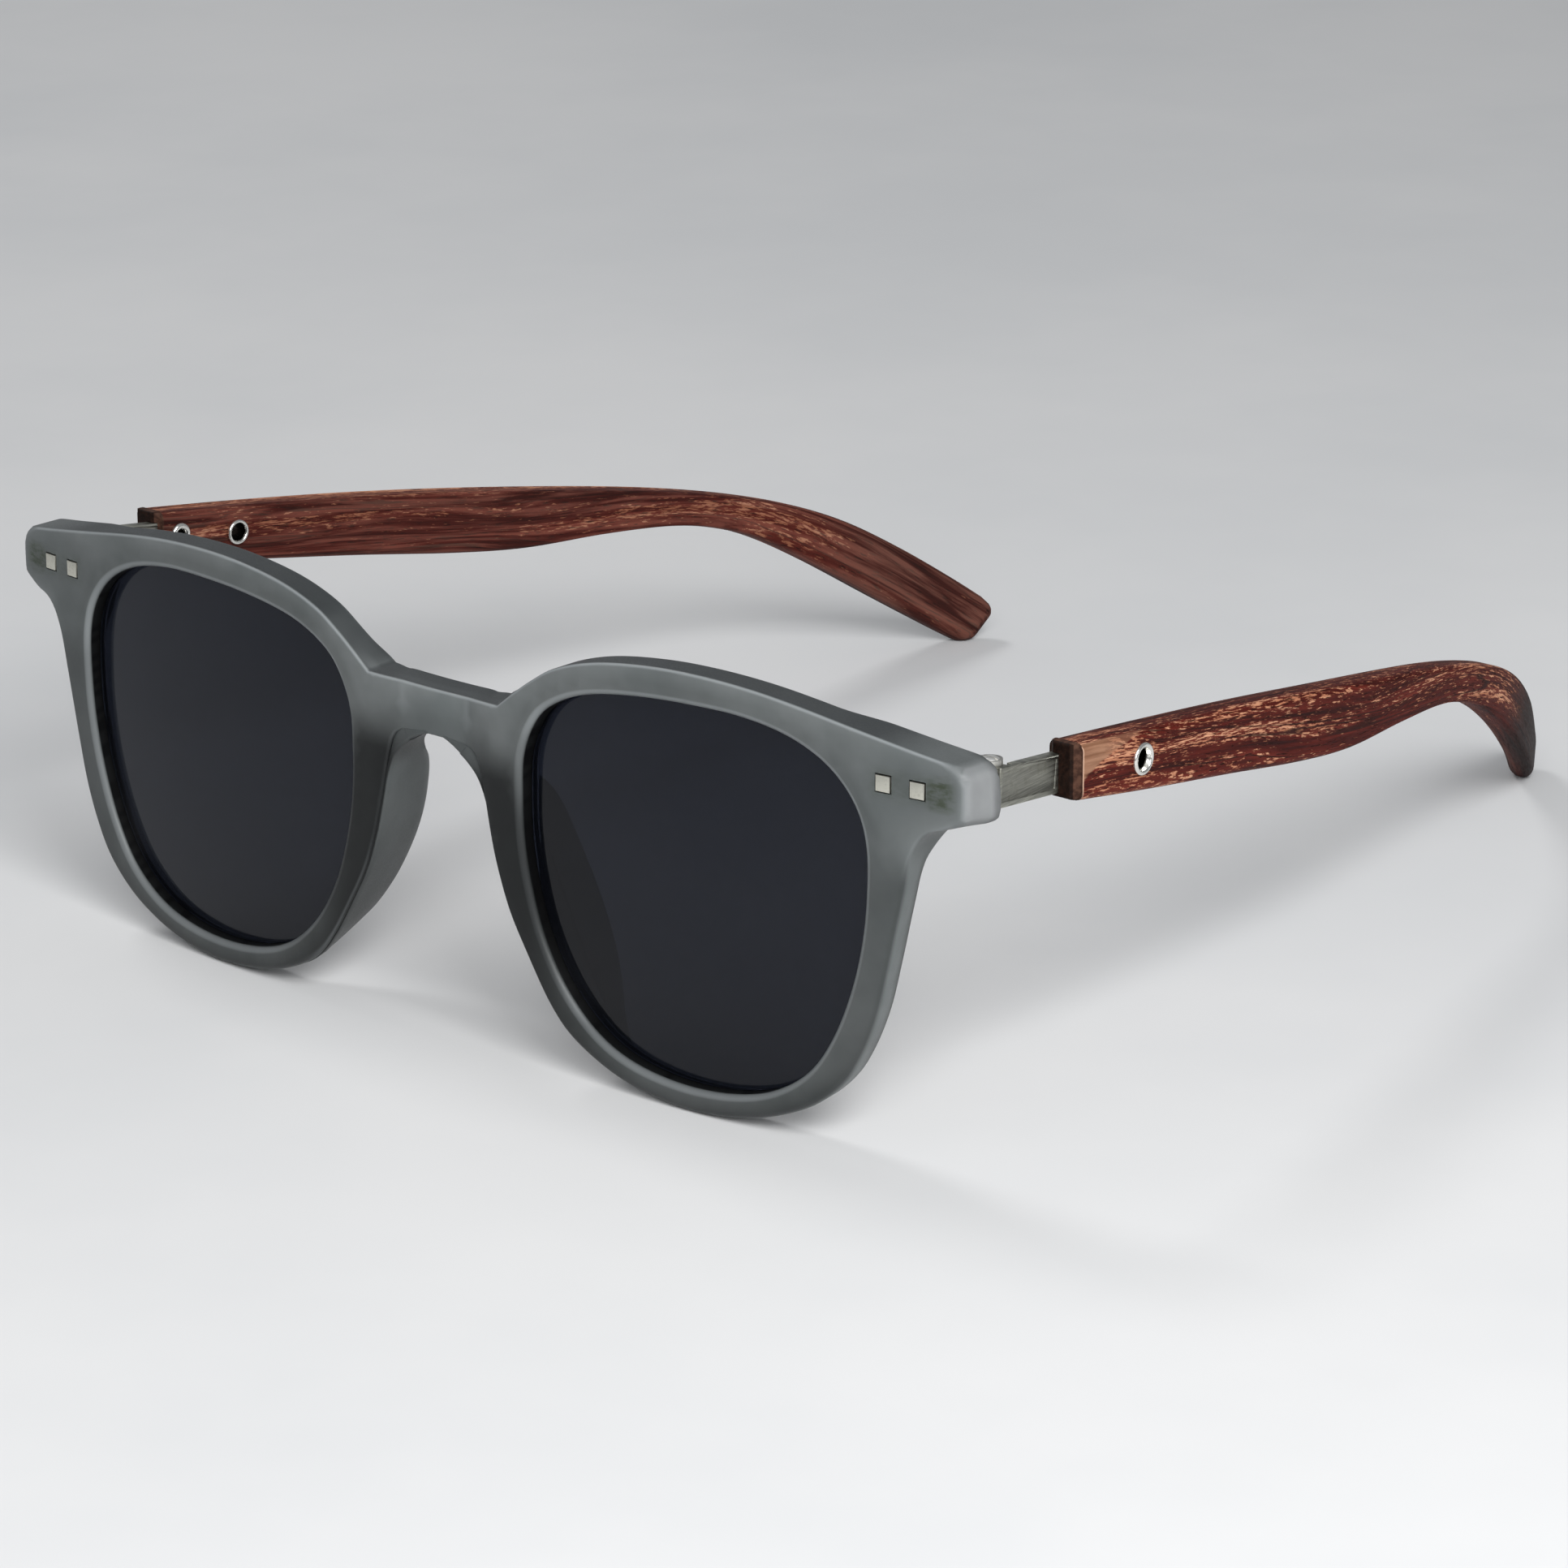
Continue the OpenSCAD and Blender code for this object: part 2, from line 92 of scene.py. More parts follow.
# ---------------------------------------------------------------------------
# Curves and frames
# ---------------------------------------------------------------------------
def cr(a, b, c, d, t):
    return 0.5 * (2 * b + (c - a) * t + (2 * a - 5 * b + 4 * c - d) * t * t + (3 * b - a - 3 * c + d) * t ** 3)


def run(points, step=None, n=None):
    """Open smooth curve through the points, cut at about step, or n pieces a span."""
    p = [np.atleast_1d(np.array(q, float)) for q in points]
    m, out = len(p) - 1, []
    for i in range(m):
        k = n or max(2, int(math.ceil(np.linalg.norm(p[i + 1] - p[i]) / step)))
        out += [cr(p[max(i - 1, 0)], p[i], p[i + 1], p[min(i + 2, m)], j / k) for j in range(k)]
    return np.array(out + [p[m]])


def ring(points, step):
    p = [np.array(q, float) for q in points]
    m, out = len(p), []
    for i in range(m):
        k = max(2, int(math.ceil(np.linalg.norm(p[(i + 1) % m] - p[i]) / step)))
        out += [cr(p[i - 1], p[i], p[(i + 1) % m], p[(i + 2) % m], j / k) for j in range(k)]
    return np.array(out)


def normals(loop):
    """Outward normals of a loop that runs clockwise seen from ahead."""
    t = np.roll(loop, -1, 0) - np.roll(loop, 1, 0)
    t /= np.linalg.norm(t, axis=1)[:, None]
    return np.stack([-t[:, 1], t[:, 0]], 1)


def ease(t):
    s = np.clip(t, 0, 1)
    return s * s * (3 - 2 * s)


def mix(a, b, t):
    return a + (b - a) * t


def rot(axis, a):
    return np.array(Matrix.Rotation(a, 3, axis))


STAND = rot("X", -LEAN)


def stand(p):
    """Front frame, mm, to the part's frame, metres."""
    return (np.asarray(p, float) @ STAND.T + np.array([0, -Y_MID, LIFT])) / 1000.0


def unstand(p):
    return (np.asarray(p, float) * 1000.0 - np.array([0, -Y_MID, LIFT])) @ STAND


TEMPLE = rot("Z", TOE) @ rot("X", -SLOPE)


def temple(p):
    """Temple frame to front frame."""
    return np.asarray(p, float) @ TEMPLE.T + np.array([AXIS_X, AXIS_Y, 0])


END_Y = WRAP * END_X ** 2 + RIM_DEPTH + END_EXTRA


def face_y(x):
    return WRAP * x * x + STEP * (1 - np.clip((np.abs(x) - CREASE[0]) / (CREASE[1] - CREASE[0]), 0, 1))


def back_y(x, z):
    """Back of the front: the rims' own depth, thicker behind the end pieces."""
    a = np.abs(x)
    base = WRAP * x * x + RIM_DEPTH
    extra = np.where(a > END_X, END_Y + END_RISE * (a - END_X) - base, END_EXTRA * ease((a - 52) / 7))
    return base + extra * ease((z + 8.6) / 4.2)


def dist(p, loops):
    """Distance of points to closed polylines."""
    best = np.full(len(p), 1e9)
    for lp in loops:
        a, b = lp, np.roll(lp, -1, 0)
        ab = b - a
        l2 = (ab ** 2).sum(1) + 1e-12
        for s in range(0, len(p), 2000):
            q = p[s:s + 2000]
            ap = q[:, None] - a[None]
            t = np.clip((ap * ab).sum(-1) / l2, 0, 1)
            d = np.linalg.norm(ap - t[..., None] * ab, axis=-1).min(1)
            best[s:s + 2000] = np.minimum(best[s:s + 2000], d)
    return best


def inside(p, lp):
    """Which points lie inside a closed polyline."""
    x, y = p[:, 0], p[:, 1]
    hit = np.zeros(len(p), bool)
    for (x0, y0), (x1, y1) in zip(lp, np.roll(lp, -1, 0)):
        if y0 == y1:
            continue
        cross = ((y0 > y) != (y1 > y)) & (x < (x1 - x0) * (y - y0) / (y1 - y0) + x0)
        hit ^= cross
    return hit


# ---------------------------------------------------------------------------
# Mesh helpers
# ---------------------------------------------------------------------------
def mesh_object(name, verts, faces, angle=35.0):
    me = bpy.data.meshes.new(name)
    me.from_pydata([tuple(v) for v in verts], [], [tuple(int(i) for i in f) for f in faces])
    me.validate()
    bm = bmesh.new()
    bm.from_mesh(me)
    bmesh.ops.recalc_face_normals(bm, faces=bm.faces)
    bm.to_mesh(me)
    bm.free()
    ob = bpy.data.objects.new(name, me)
    scene.collection.objects.link(ob)
    shade(ob, angle)
    return ob


def shade(ob, angle):
    me = ob.data
    me.polygons.foreach_set("use_smooth", np.ones(len(me.polygons), bool))
    me.set_sharp_from_angle(angle=math.radians(angle))
    me.update()


def cut(ob, tools):
    """Takes the tool solids out of ob, for good, and removes them."""
    for t in tools:
        m = ob.modifiers.new("cut", "BOOLEAN")
        m.operation, m.solver, m.object = "DIFFERENCE", "MANIFOLD", t
    dg = bpy.context.evaluated_depsgraph_get()
    new = bpy.data.meshes.new_from_object(ob.evaluated_get(dg))
    ob.modifiers.clear()
    old, ob.data = ob.data, new
    new.name = ob.name
    bpy.data.meshes.remove(old)
    for t in tools:
        me = t.data
        bpy.data.objects.remove(t)
        bpy.data.meshes.remove(me)
    bm = bmesh.new()
    bm.from_mesh(ob.data)
    bmesh.ops.remove_doubles(bm, verts=bm.verts, dist=2e-7)
    bm.to_mesh(ob.data)
    bm.free()
    return ob


def solid_box(lo, hi, place, side):
    c = np.array([[x, y, z] for x in (lo[0], hi[0]) for y in (lo[1], hi[1]) for z in (lo[2], hi[2])], float)
    p = place(c)
    p[:, 0] *= side
    return mesh_object("tool", stand(p), [(0, 1, 3, 2), (4, 6, 7, 5), (0, 4, 5, 1), (2, 3, 7, 6), (0, 2, 6, 4), (1, 5, 7, 3)])


def solid_rod(r, a, b, place, side, n=40):
    """Cylinder from a to b in a local frame; a and b share one running axis."""
    a, b = np.array(a, float), np.array(b, float)
    w = (b - a) / np.linalg.norm(b - a)
    u = np.cross(w, [0, 0, 1.0] if abs(w[2]) < 0.9 else [1.0, 0, 0])
    u /= np.linalg.norm(u)
    v = np.cross(w, u)
    t = np.linspace(0, 2 * np.pi, n, endpoint=False)
    circle = r * (np.cos(t)[:, None] * u + np.sin(t)[:, None] * v)
    p = place(np.concatenate([a + circle, b + circle]))
    p[:, 0] *= side
    faces = [(i, (i + 1) % n, n + (i + 1) % n, n + i) for i in range(n)] + [tuple(range(n)), tuple(range(2 * n - 1, n - 1, -1))]
    return mesh_object("tool", stand(p), faces)


def lathe(name, profile, place, side, n=72, angle=40.0):
    """Closed profile [radius, along x] turned about the local x axis."""
    t = np.linspace(0, 2 * np.pi, n, endpoint=False)
    m, pts, faces = len(profile), [], []
    for a in t:
        pts += [[h, r * math.cos(a), r * math.sin(a)] for r, h in profile]
    for i in range(n):
        for j in range(m):
            k, q = (j + 1) % m, (i + 1) % n
            faces.append((i * m + j, q * m + j, q * m + k, i * m + k))
    p = place(np.array(pts))
    p[:, 0] *= side
    return mesh_object(name, stand(p), faces, angle)


def end_frame(p):
    """Local frame on the flat behind an end piece."""
    return np.asarray(p, float) @ rot("Z", math.atan(END_RISE)).T + np.array([END_X, END_Y, 0])


def rivet_frame(x):
    m = rot("Z", math.atan(2 * WRAP * x)) @ rot("X", math.radians(-90))
    return lambda p: np.asarray(p, float) @ m.T + np.array([x, WRAP * x * x, 0])


def hold(ob):
    """Keeps a piece inside the construction's box."""
    lo, hi = np.array(cad_box[0]) + 2e-6, np.array(cad_box[1]) - 2e-6
    ob.data.vertices.foreach_set("co", np.clip(coords(ob), lo, hi).astype(np.float32).ravel())
    ob.data.update()


def attribute(ob, name, values):
    a = ob.data.attributes.get(name) or ob.data.attributes.new(name, "FLOAT_VECTOR", "POINT")
    a.data.foreach_set("vector", np.ascontiguousarray(values, np.float32).ravel())


def coords(ob):
    co = np.zeros(len(ob.data.vertices) * 3, np.float32)
    ob.data.vertices.foreach_get("co", co)
    return co.reshape(-1, 3).astype(float)


# ---------------------------------------------------------------------------
# Materials
# ---------------------------------------------------------------------------
class Nodes:
    """A small builder for one material's nodes."""

    def __init__(self, name):
        self.mat = bpy.data.materials.new(name)
        self.mat.use_nodes = True
        self.tree = self.mat.node_tree
        self.tree.nodes.clear()
        self.out = self.tree.nodes.new("ShaderNodeOutputMaterial")
        self.bsdf = self.tree.nodes.new("ShaderNodeBsdfPrincipled")
        self.link(self.bsdf.outputs[0], self.out.inputs["Surface"])

    def link(self, a, b):
        self.tree.links.new(a, b)

    def node(self, kind, **kw):
        n = self.tree.nodes.new("ShaderNode" + kind)
        for k, v in kw.items():
            setattr(n, k, v)
        return n

    def feed(self, socket, v):
        if isinstance(v, (int, float)):
            socket.default_value = v
        elif isinstance(v, (tuple, list)):
            socket.default_value = (*v, 1.0) if len(v) == 3 and len(socket.default_value) == 4 else v
        else:
            self.link(v, socket)

    def coord(self, scale=(1, 1, 1), rotate=(0, 0, 0), source=None):
        if source is None:
            source = self.node("TexCoord").outputs["Object"]
        m = self.node("Mapping")
        m.inputs["Scale"].default_value = scale
        m.inputs["Rotation"].default_value = rotate
        self.link(source, m.inputs["Vector"])
        return m.outputs[0]

    def attr(self, name):
        return self.node("Attribute", attribute_name=name).outputs["Vector"]

    def split(self, v):
        s = self.node("SeparateXYZ")
        self.link(v, s.inputs[0])
        return s.outputs[0], s.outputs[1], s.outputs[2]

    def noise(self, vec, scale=1.0, detail=4.0, rough=0.55, distort=0.0):
        n = self.node("TexNoise")
        self.link(vec, n.inputs["Vector"])
        n.inputs["Scale"].default_value = scale
        n.inputs["Detail"].default_value = detail
        n.inputs["Roughness"].default_value = rough
        n.inputs["Distortion"].default_value = distort
        return n.outputs[0]

    def math(self, op, a, b=0.0, c=0.0, clamp=False):
        n = self.node("Math", operation=op, use_clamp=clamp)
        for s, v in zip(n.inputs, (a, b, c)):
            self.feed(s, v)
        return n.outputs[0]

    def ramp(self, v, a, b, c=0.0, d=1.0, smooth=True):
        n = self.node("MapRange", interpolation_type="SMOOTHSTEP" if smooth else "LINEAR")
        for k, x in zip(("From Min", "From Max", "To Min", "To Max"), (a, b, c, d)):
            n.inputs[k].default_value = x
        self.link(v, n.inputs["Value"])
        return n.outputs["Result"]

    def mix(self, f, a, b, mode="MIX"):
        n = self.node("Mix", data_type="RGBA", blend_type=mode)
        self.feed(n.inputs["Factor"], f)
        self.feed(n.inputs["A"], a)
        self.feed(n.inputs["B"], b)
        return n.outputs["Result"]

    def colours(self, v, stops):
        n = self.node("ValToRGB")
        e = n.color_ramp.elements
        while len(e) < len(stops):
            e.new(0.5)
        for k, (p, c) in zip(e, stops):
            k.position, k.color = p, (*c, 1)
        self.link(v, n.inputs[0])
        return n.outputs["Color"]

    def tones(self, v):
        n = self.node("CombineXYZ")
        for i in range(3):
            self.link(v, n.inputs[i])
        return n.outputs[0]

    def bump(self, height, strength, distance):
        n = self.node("Bump")
        n.inputs["Strength"].default_value = strength
        n.inputs["Distance"].default_value = distance
        self.link(height, n.inputs["Height"])
        self.link(n.outputs[0], self.bsdf.inputs["Normal"])

    def set(self, **kw):
        for k, v in kw.items():
            self.feed(self.bsdf.inputs[k.replace("_", " ")], v)
        return self.mat


def lin(r, g, b):
    """Screen colour 0-255 to linear."""
    return tuple(((c / 255) / 12.92 if c <= 10.3 else ((c / 255 + 0.055) / 1.055) ** 2.4) for c in (r, g, b))


def smoke_plastic():
    """Matte translucent grey: painted highlights make it paler on the rounded edges, painted shade makes it darker on
    top, where the pads stand behind and inside the openings.
    """
    k = Nodes("smoke_plastic")
    pad_shade, wall, plate = k.split(k.attr("shade"))
    edge, top, end = k.split(k.attr("edges"))
    painted_shading = k.split(k.attr("painted_shading"))[0]
    p = k.coord((1000, 1000, 1000))
    broad = k.noise(p, 0.09, 3, 0.5)
    fine = k.noise(p, 5.0, 3, 0.6)
    base = k.mix(k.ramp(broad, 0.3, 0.7), lin(94, 99, 99), lin(109, 113, 113))
    # painted shade: faces that look upwards mixed towards dark grey
    base = k.mix(k.math("MULTIPLY", top, 0.8), base, lin(44, 47, 49))
    # painted shade where the nose pads stand behind the plastic
    base = k.mix(k.math("MULTIPLY", pad_shade, 0.96), base, lin(15, 17, 18))
    patch = k.noise(k.coord((700, 500, 1800)), 1.0, 3, 0.6)
    base = k.mix(k.math("MULTIPLY", plate, k.ramp(patch, 0.35, 0.65, 0.3, 0.9)), base, lin(58, 66, 50))
    # painted light: the end pieces' side faces paler
    base = k.mix(k.math("MULTIPLY", end, 0.95), base, lin(151, 153, 154))
    # painted light and shade: the multiplier from the mesh, with a little random variation
    base = k.mix(1.0, base, k.tones(k.math("MULTIPLY", painted_shading, k.ramp(k.noise(p, 0.28, 2, 0.5), 0.3, 0.7, 0.94, 1.06))), "MULTIPLY")
    # painted highlight: pale along the rounded edges and the bridge creases
    base = k.mix(k.math("MULTIPLY", edge, 0.72), base, lin(160, 165, 167))
    # painted shade: the walls of the lens openings and the rivet pockets near black
    base = k.mix(wall, base, lin(6, 6, 7))
    rough = k.math("ADD", k.ramp(fine, 0.3, 0.7, 0.36, 0.46), k.ramp(broad, 0.3, 0.7, -0.03, 0.05))
    k.bump(fine, 0.06, 0.00008)
    return k.set(Base_Color=base, Roughness=rough, IOR=1.4, Specular_IOR_Level=0.3, Transmission_Weight=0.2, Subsurface_Weight=0.15, Subsurface_Radius=(1.0, 1.0, 1.0), Subsurface_Scale=0.001)


def tinted_lens():
    """Dark blue-grey lens, a little paler towards the bottom."""
    k = Nodes("tinted_lens")
    o = k.coord((1000, 1000, 1000))
    height = k.ramp(k.split(o)[2], 44.0, 4.0, smooth=False)
    broad = k.noise(o, 0.06, 3, 0.55)
    dust = k.noise(o, 2.2, 4, 0.7)
    base = k.mix(height, (0.0116, 0.0142, 0.0234), (0.0175, 0.0207, 0.0315))
    base = k.mix(k.ramp(broad, 0.35, 0.65, 0.0, 0.3), base, (0.0175, 0.0200, 0.0295))
    rough = k.math("ADD", k.ramp(broad, 0.35, 0.7, 0.04, 0.08), k.ramp(dust, 0.6, 0.8, 0.0, 0.06))
    k.bump(broad, 0.02, 0.0001)
    return k.set(Base_Color=base, Roughness=rough, IOR=1.3, Specular_IOR_Level=0.5, Transmission_Weight=0.85)


def wood(name):
    """Oiled reddish-brown wood: long grain along the temple, in its own length, thickness and height (mm)."""
    k = Nodes(name)
    g = k.attr("grain")
    s, u, v = k.split(g)
    front, below, tip = k.split(k.attr("ends"))
    wav = k.noise(k.coord((0.016, 0.12, 0.12), source=g), 1.0, 2, 0.5)
    bent = k.node("VectorMath", operation="ADD")
    k.link(g, bent.inputs[0])
    cmb = k.node("CombineXYZ")
    k.link(k.ramp(wav, 0.25, 0.75, -1.6, 1.6, False), cmb.inputs[2])
    k.link(k.ramp(wav, 0.25, 0.75, 0.9, -0.9, False), cmb.inputs[1])
    k.link(cmb.outputs[0], bent.inputs[1])
    gb = bent.outputs[0]
    bands = k.noise(k.coord((0.014, 0.40, 0.44), source=gb), 1.0, 3, 0.55)
    streak = k.noise(k.coord((0.05, 1.5, 1.7), source=gb), 1.0, 4, 0.6)
    vein = k.noise(k.coord((0.010, 0.30, 0.36), source=gb), 1.0, 2, 0.45)
    fleck = k.noise(k.coord((0.58, 4.6, 4.8), source=gb), 1.0, 4, 0.65)
    pore = k.noise(k.coord((0.5, 6.0, 6.5), source=gb), 1.0, 2, 0.5)
    t = k.math("ADD", k.math("MULTIPLY", bands, 0.45), k.math("MULTIPLY", streak, 0.55))
    col = k.colours(t, [(0.34, lin(36, 8, 6)), (0.44, lin(66, 17, 11)), (0.54, lin(90, 29, 20)), (0.66, lin(118, 50, 36))])
    # short tan flecks, more of them in the upper part and on the outer face, none on the drop
    f = k.math("ADD", fleck, k.ramp(bands, 0.36, 0.64, -0.09, 0.06))
    f = k.math("ADD", f, k.ramp(v, -3.4, 2.0, -0.05, 0.035))
    f = k.math("ADD", f, k.ramp(u, -1.2, 1.2, -0.015, 0.015))
    f = k.math("SUBTRACT", f, k.math("MULTIPLY", tip, 0.08))
    tan = k.math("MULTIPLY", k.ramp(f, 0.535, 0.635, 0.0, 0.95), k.ramp(u, -1.2, 1.2, 0.6, 1.0))
    col = k.mix(tan, col, k.mix(k.ramp(streak, 0.4, 0.62), lin(180, 118, 88), lin(216, 160, 126)))
    dark = k.ramp(pore, 0.42, 0.33, 0.0, 0.85)
    col = k.mix(dark, col, lin(30, 9, 6))
    line = k.ramp(k.math("ABSOLUTE", k.math("SUBTRACT", vein, 0.5)), 0.014, 0.003, 0.0, 0.8)
    col = k.mix(line, col, lin(32, 10, 7))
    within = k.math("MULTIPLY", k.ramp(u, 0.4, -1.2), k.math("ADD", k.math("MULTIPLY", tip, 0.22), 0.3))
    col = k.mix(within, col, k.mix(k.ramp(streak, 0.4, 0.62), lin(52, 32, 28), lin(124, 90, 78)))
    # painted shade: the drop darker, most on its outer face
    tip_shade = k.math("MULTIPLY", tip, k.ramp(u, -1.0, 1.0, 0.2, 0.95))
    col = k.mix(tip_shade, col, k.mix(k.ramp(streak, 0.35, 0.65), lin(20, 10, 8), lin(36, 20, 16)))
    # the front end: a paler wedge at its upper outer corner with a painted highlight along its edge, dark end grain
    outer = k.ramp(below, 0.8, 0.35)
    rise = k.math("MAXIMUM", k.math("ADD", v, 0.9), 0.0)
    reach = k.math("ADD", k.math("MULTIPLY", rise, 1.3), k.math("MULTIPLY", k.math("MULTIPLY", rise, rise), 0.35))
    reach = k.math("SUBTRACT", k.math("ADD", reach, k.ramp(streak, 0.3, 0.7, 0.7, 1.3)), front)
    wedge = k.math("MULTIPLY", k.math("MULTIPLY", k.ramp(reach, -0.3, 0.4), outer), k.ramp(front, 4.0, 8.5, 1.0, 0.45))
    wedge_colour = k.mix(k.ramp(streak, 0.35, 0.62), lin(126, 88, 66), lin(158, 118, 94))
    col = k.mix(k.math("MULTIPLY", wedge, 0.96), col, wedge_colour)
    col = k.mix(k.ramp(front, 1.12, 0.98), col, k.mix(k.ramp(streak, 0.35, 0.65), lin(52, 33, 26), lin(80, 55, 44)))
    col = k.mix(k.ramp(front, 0.34, 0.2), col, k.mix(k.ramp(streak, 0.35, 0.65), lin(20, 11, 8), lin(36, 21, 15)))
    # painted highlight where the front end's chamfer meets the outer face
    rim = k.math("MULTIPLY", k.ramp(k.math("ABSOLUTE", k.math("SUBTRACT", front, 1.08)), 0.16, 0.05), k.ramp(below, 0.3, 0.12))
    col = k.mix(k.math("MULTIPLY", rim, k.ramp(v, -2.6, -1.6, 0.3, 0.9)), col, lin(210, 172, 148))
    rough = k.math("ADD", k.ramp(fleck, 0.3, 0.7, 0.5, 0.62), k.math("MULTIPLY", dark, 0.12))
    h = k.math("SUBTRACT", k.math("MULTIPLY", fleck, 0.6), k.math("MULTIPLY", dark, 0.5))
    k.bump(h, 0.35, 0.00012)
    return k.set(Base_Color=col, Roughness=rough, IOR=1.45, Specular_IOR_Level=0.1)


def brushed_steel(name, along, tint, rough0):
    k = Nodes(name)
    brush = k.noise(k.coord(along), 1.0, 3, 0.6)
    blot = k.noise(k.coord((900, 900, 900)), 1.0, 3, 0.6)
    col = k.mix(k.ramp(brush, 0.3, 0.7), tuple(c * 0.6 for c in tint), tint)
    col = k.mix(k.ramp(blot, 0.5, 0.75, 0.0, 0.3), col, lin(112, 112, 96))
    k.bump(brush, 0.3, 0.00005)
    return k.set(Base_Color=col, Metallic=1.0, Roughness=k.math("ADD", k.ramp(brush, 0.3, 0.7, rough0, rough0 + 0.12), k.ramp(blot, 0.4, 0.7, 0.0, 0.08)))


def bright_metal(name, tint, rough0, hollow=False):
    k = Nodes(name)
    p = k.coord((1000, 1000, 1000))
    scuff = k.noise(p, 3.0, 5, 0.7)
    broad = k.noise(p, 0.7, 2, 0.5)
    col = k.mix(k.ramp(scuff, 0.45, 0.75, 0.0, 0.5), tint, tuple(c * 0.7 for c in tint))
    if hollow:
        # painted shade on the inside of the bore
        col = k.mix(k.split(k.attr("bore"))[0], col, (0.022, 0.014, 0.010))
    k.bump(scuff, 0.08, 0.00003)
    return k.set(Base_Color=col, Metallic=1.0, Roughness=k.math("ADD", k.ramp(scuff, 0.4, 0.7, rough0, rough0 + 0.12), k.ramp(broad, 0.3, 0.7, 0.0, 0.06)))


MAT_FRONT = smoke_plastic()
MAT_LENS = tinted_lens()
MAT_WOOD = wood("temple_wood")
MAT_STEEL = brushed_steel("brushed_steel", (260, 260, 7000), (0.40, 0.40, 0.35), 0.34)
MAT_PLATE = brushed_steel("plate_steel", (300, 300, 300), (0.62, 0.61, 0.57), 0.30)
MAT_RIVET = bright_metal("rivet_metal", (0.66, 0.65, 0.57), 0.34)
MAT_SCREW = bright_metal("screw_metal", (0.9, 0.89, 0.86), 0.36)
MAT_EYELET = bright_metal("eyelet_metal", (0.84, 0.83, 0.79), 0.16, True)


def paint(ob, mat):
    ob.data.materials.clear()
    ob.data.materials.append(mat)


# ---------------------------------------------------------------------------
# The plastic front: outline and lens openings, rounded edges by distance to the edge
# ---------------------------------------------------------------------------
def outline(rim):
    half = np.concatenate([run([[0, -1.5], [4.8, -1.45], [9.6, -1.3]], step=0.8)[:-1], run(BROW + END + rim, step=0.75)])
    return np.concatenate([half, half[-2:0:-1] * [-1, 1]])


# under the bridge the front itself has squarer corners, which the tops of the pads fill from just behind the face
OUTER = outline(RIM[:-5] + [[7.55, -12.6], [6.95, -10], [6.35, -8.1], [5.3, -7.15], [3, -6.85], [0, -6.8]])
FILLED = outline(RIM)
LENS_L = ring(LENS, 0.75)
LENS_R = LENS_L[::-1] * [-1, 1]
LOOPS = [OUTER, LENS_L, LENS_R]


def rim_zone(x, z):
    """1 on the temporal and lower rims, 0 on the brow, the bridge and the end pieces."""
    a = np.abs(x)
    side = ease((-6.0 - z) / 5) * ease((a - 24) / 14)
    low = ease((-30.0 - z) / 5) * ease((a - 16) / 6)
    return np.maximum(side, low)


def back_outline():
    """The outline behind: drawn in beside the pads, the corner beside the bridge nearer the middle and higher, the end pieces spread."""
    x, z = OUTER.T
    nasal = ease((-7.4 - z) / 2.5) * ease((22.0 - np.abs(x)) / 5) * ease((z + 38.5) / 4)
    q = OUTER - normals(OUTER) * (0.1 * rim_zone(x, z) * (1 - nasal) + 1.0 * nasal)[:, None]
    near = np.exp(-(((np.abs(x) - 9.6) / 3.2) ** 2 + ((z + 1.3) / 2.4) ** 2))
    top = ease((9.6 - np.abs(x)) / 4) * (z > -4)
    q[:, 0] -= np.sign(x) * 0.8 * near
    q[:, 1] += 0.45 * np.maximum(near, top)
    q[:, 0] += np.sign(x) * 0.25 * ease((np.abs(x) - 69.0) / 1.2)
    q[:, 1] -= 0.6 * ease((np.abs(x) - 67.0) / 2) * (z < -1.5)
    return q


QUARTER = [math.radians(a) for a in (15, 30, 45, 60, 75, 90)]


def r_outer(x, z):
    return 0.40 + 0.40 * rim_zone(x, z) + 0.65 * ease((np.abs(x) - 67.0) / 2.2)


R_LENS = 0.75


def back_w(x, z):
    return 0.7 + 0.9 * rim_zone(x, z) - 0.3 * ease((np.abs(x) - 67.5) / 2) * ease((1.0 - z) / 2) * ease((z + 6) / 2)


def back_h(x, z):
    return 0.7 + 1.5 * rim_zone(x, z) - 0.3 * ease((np.abs(x) - 67.5) / 2) * ease((1.0 - z) / 2) * ease((z + 6) / 2)


R_LENS_BACK = 0.5


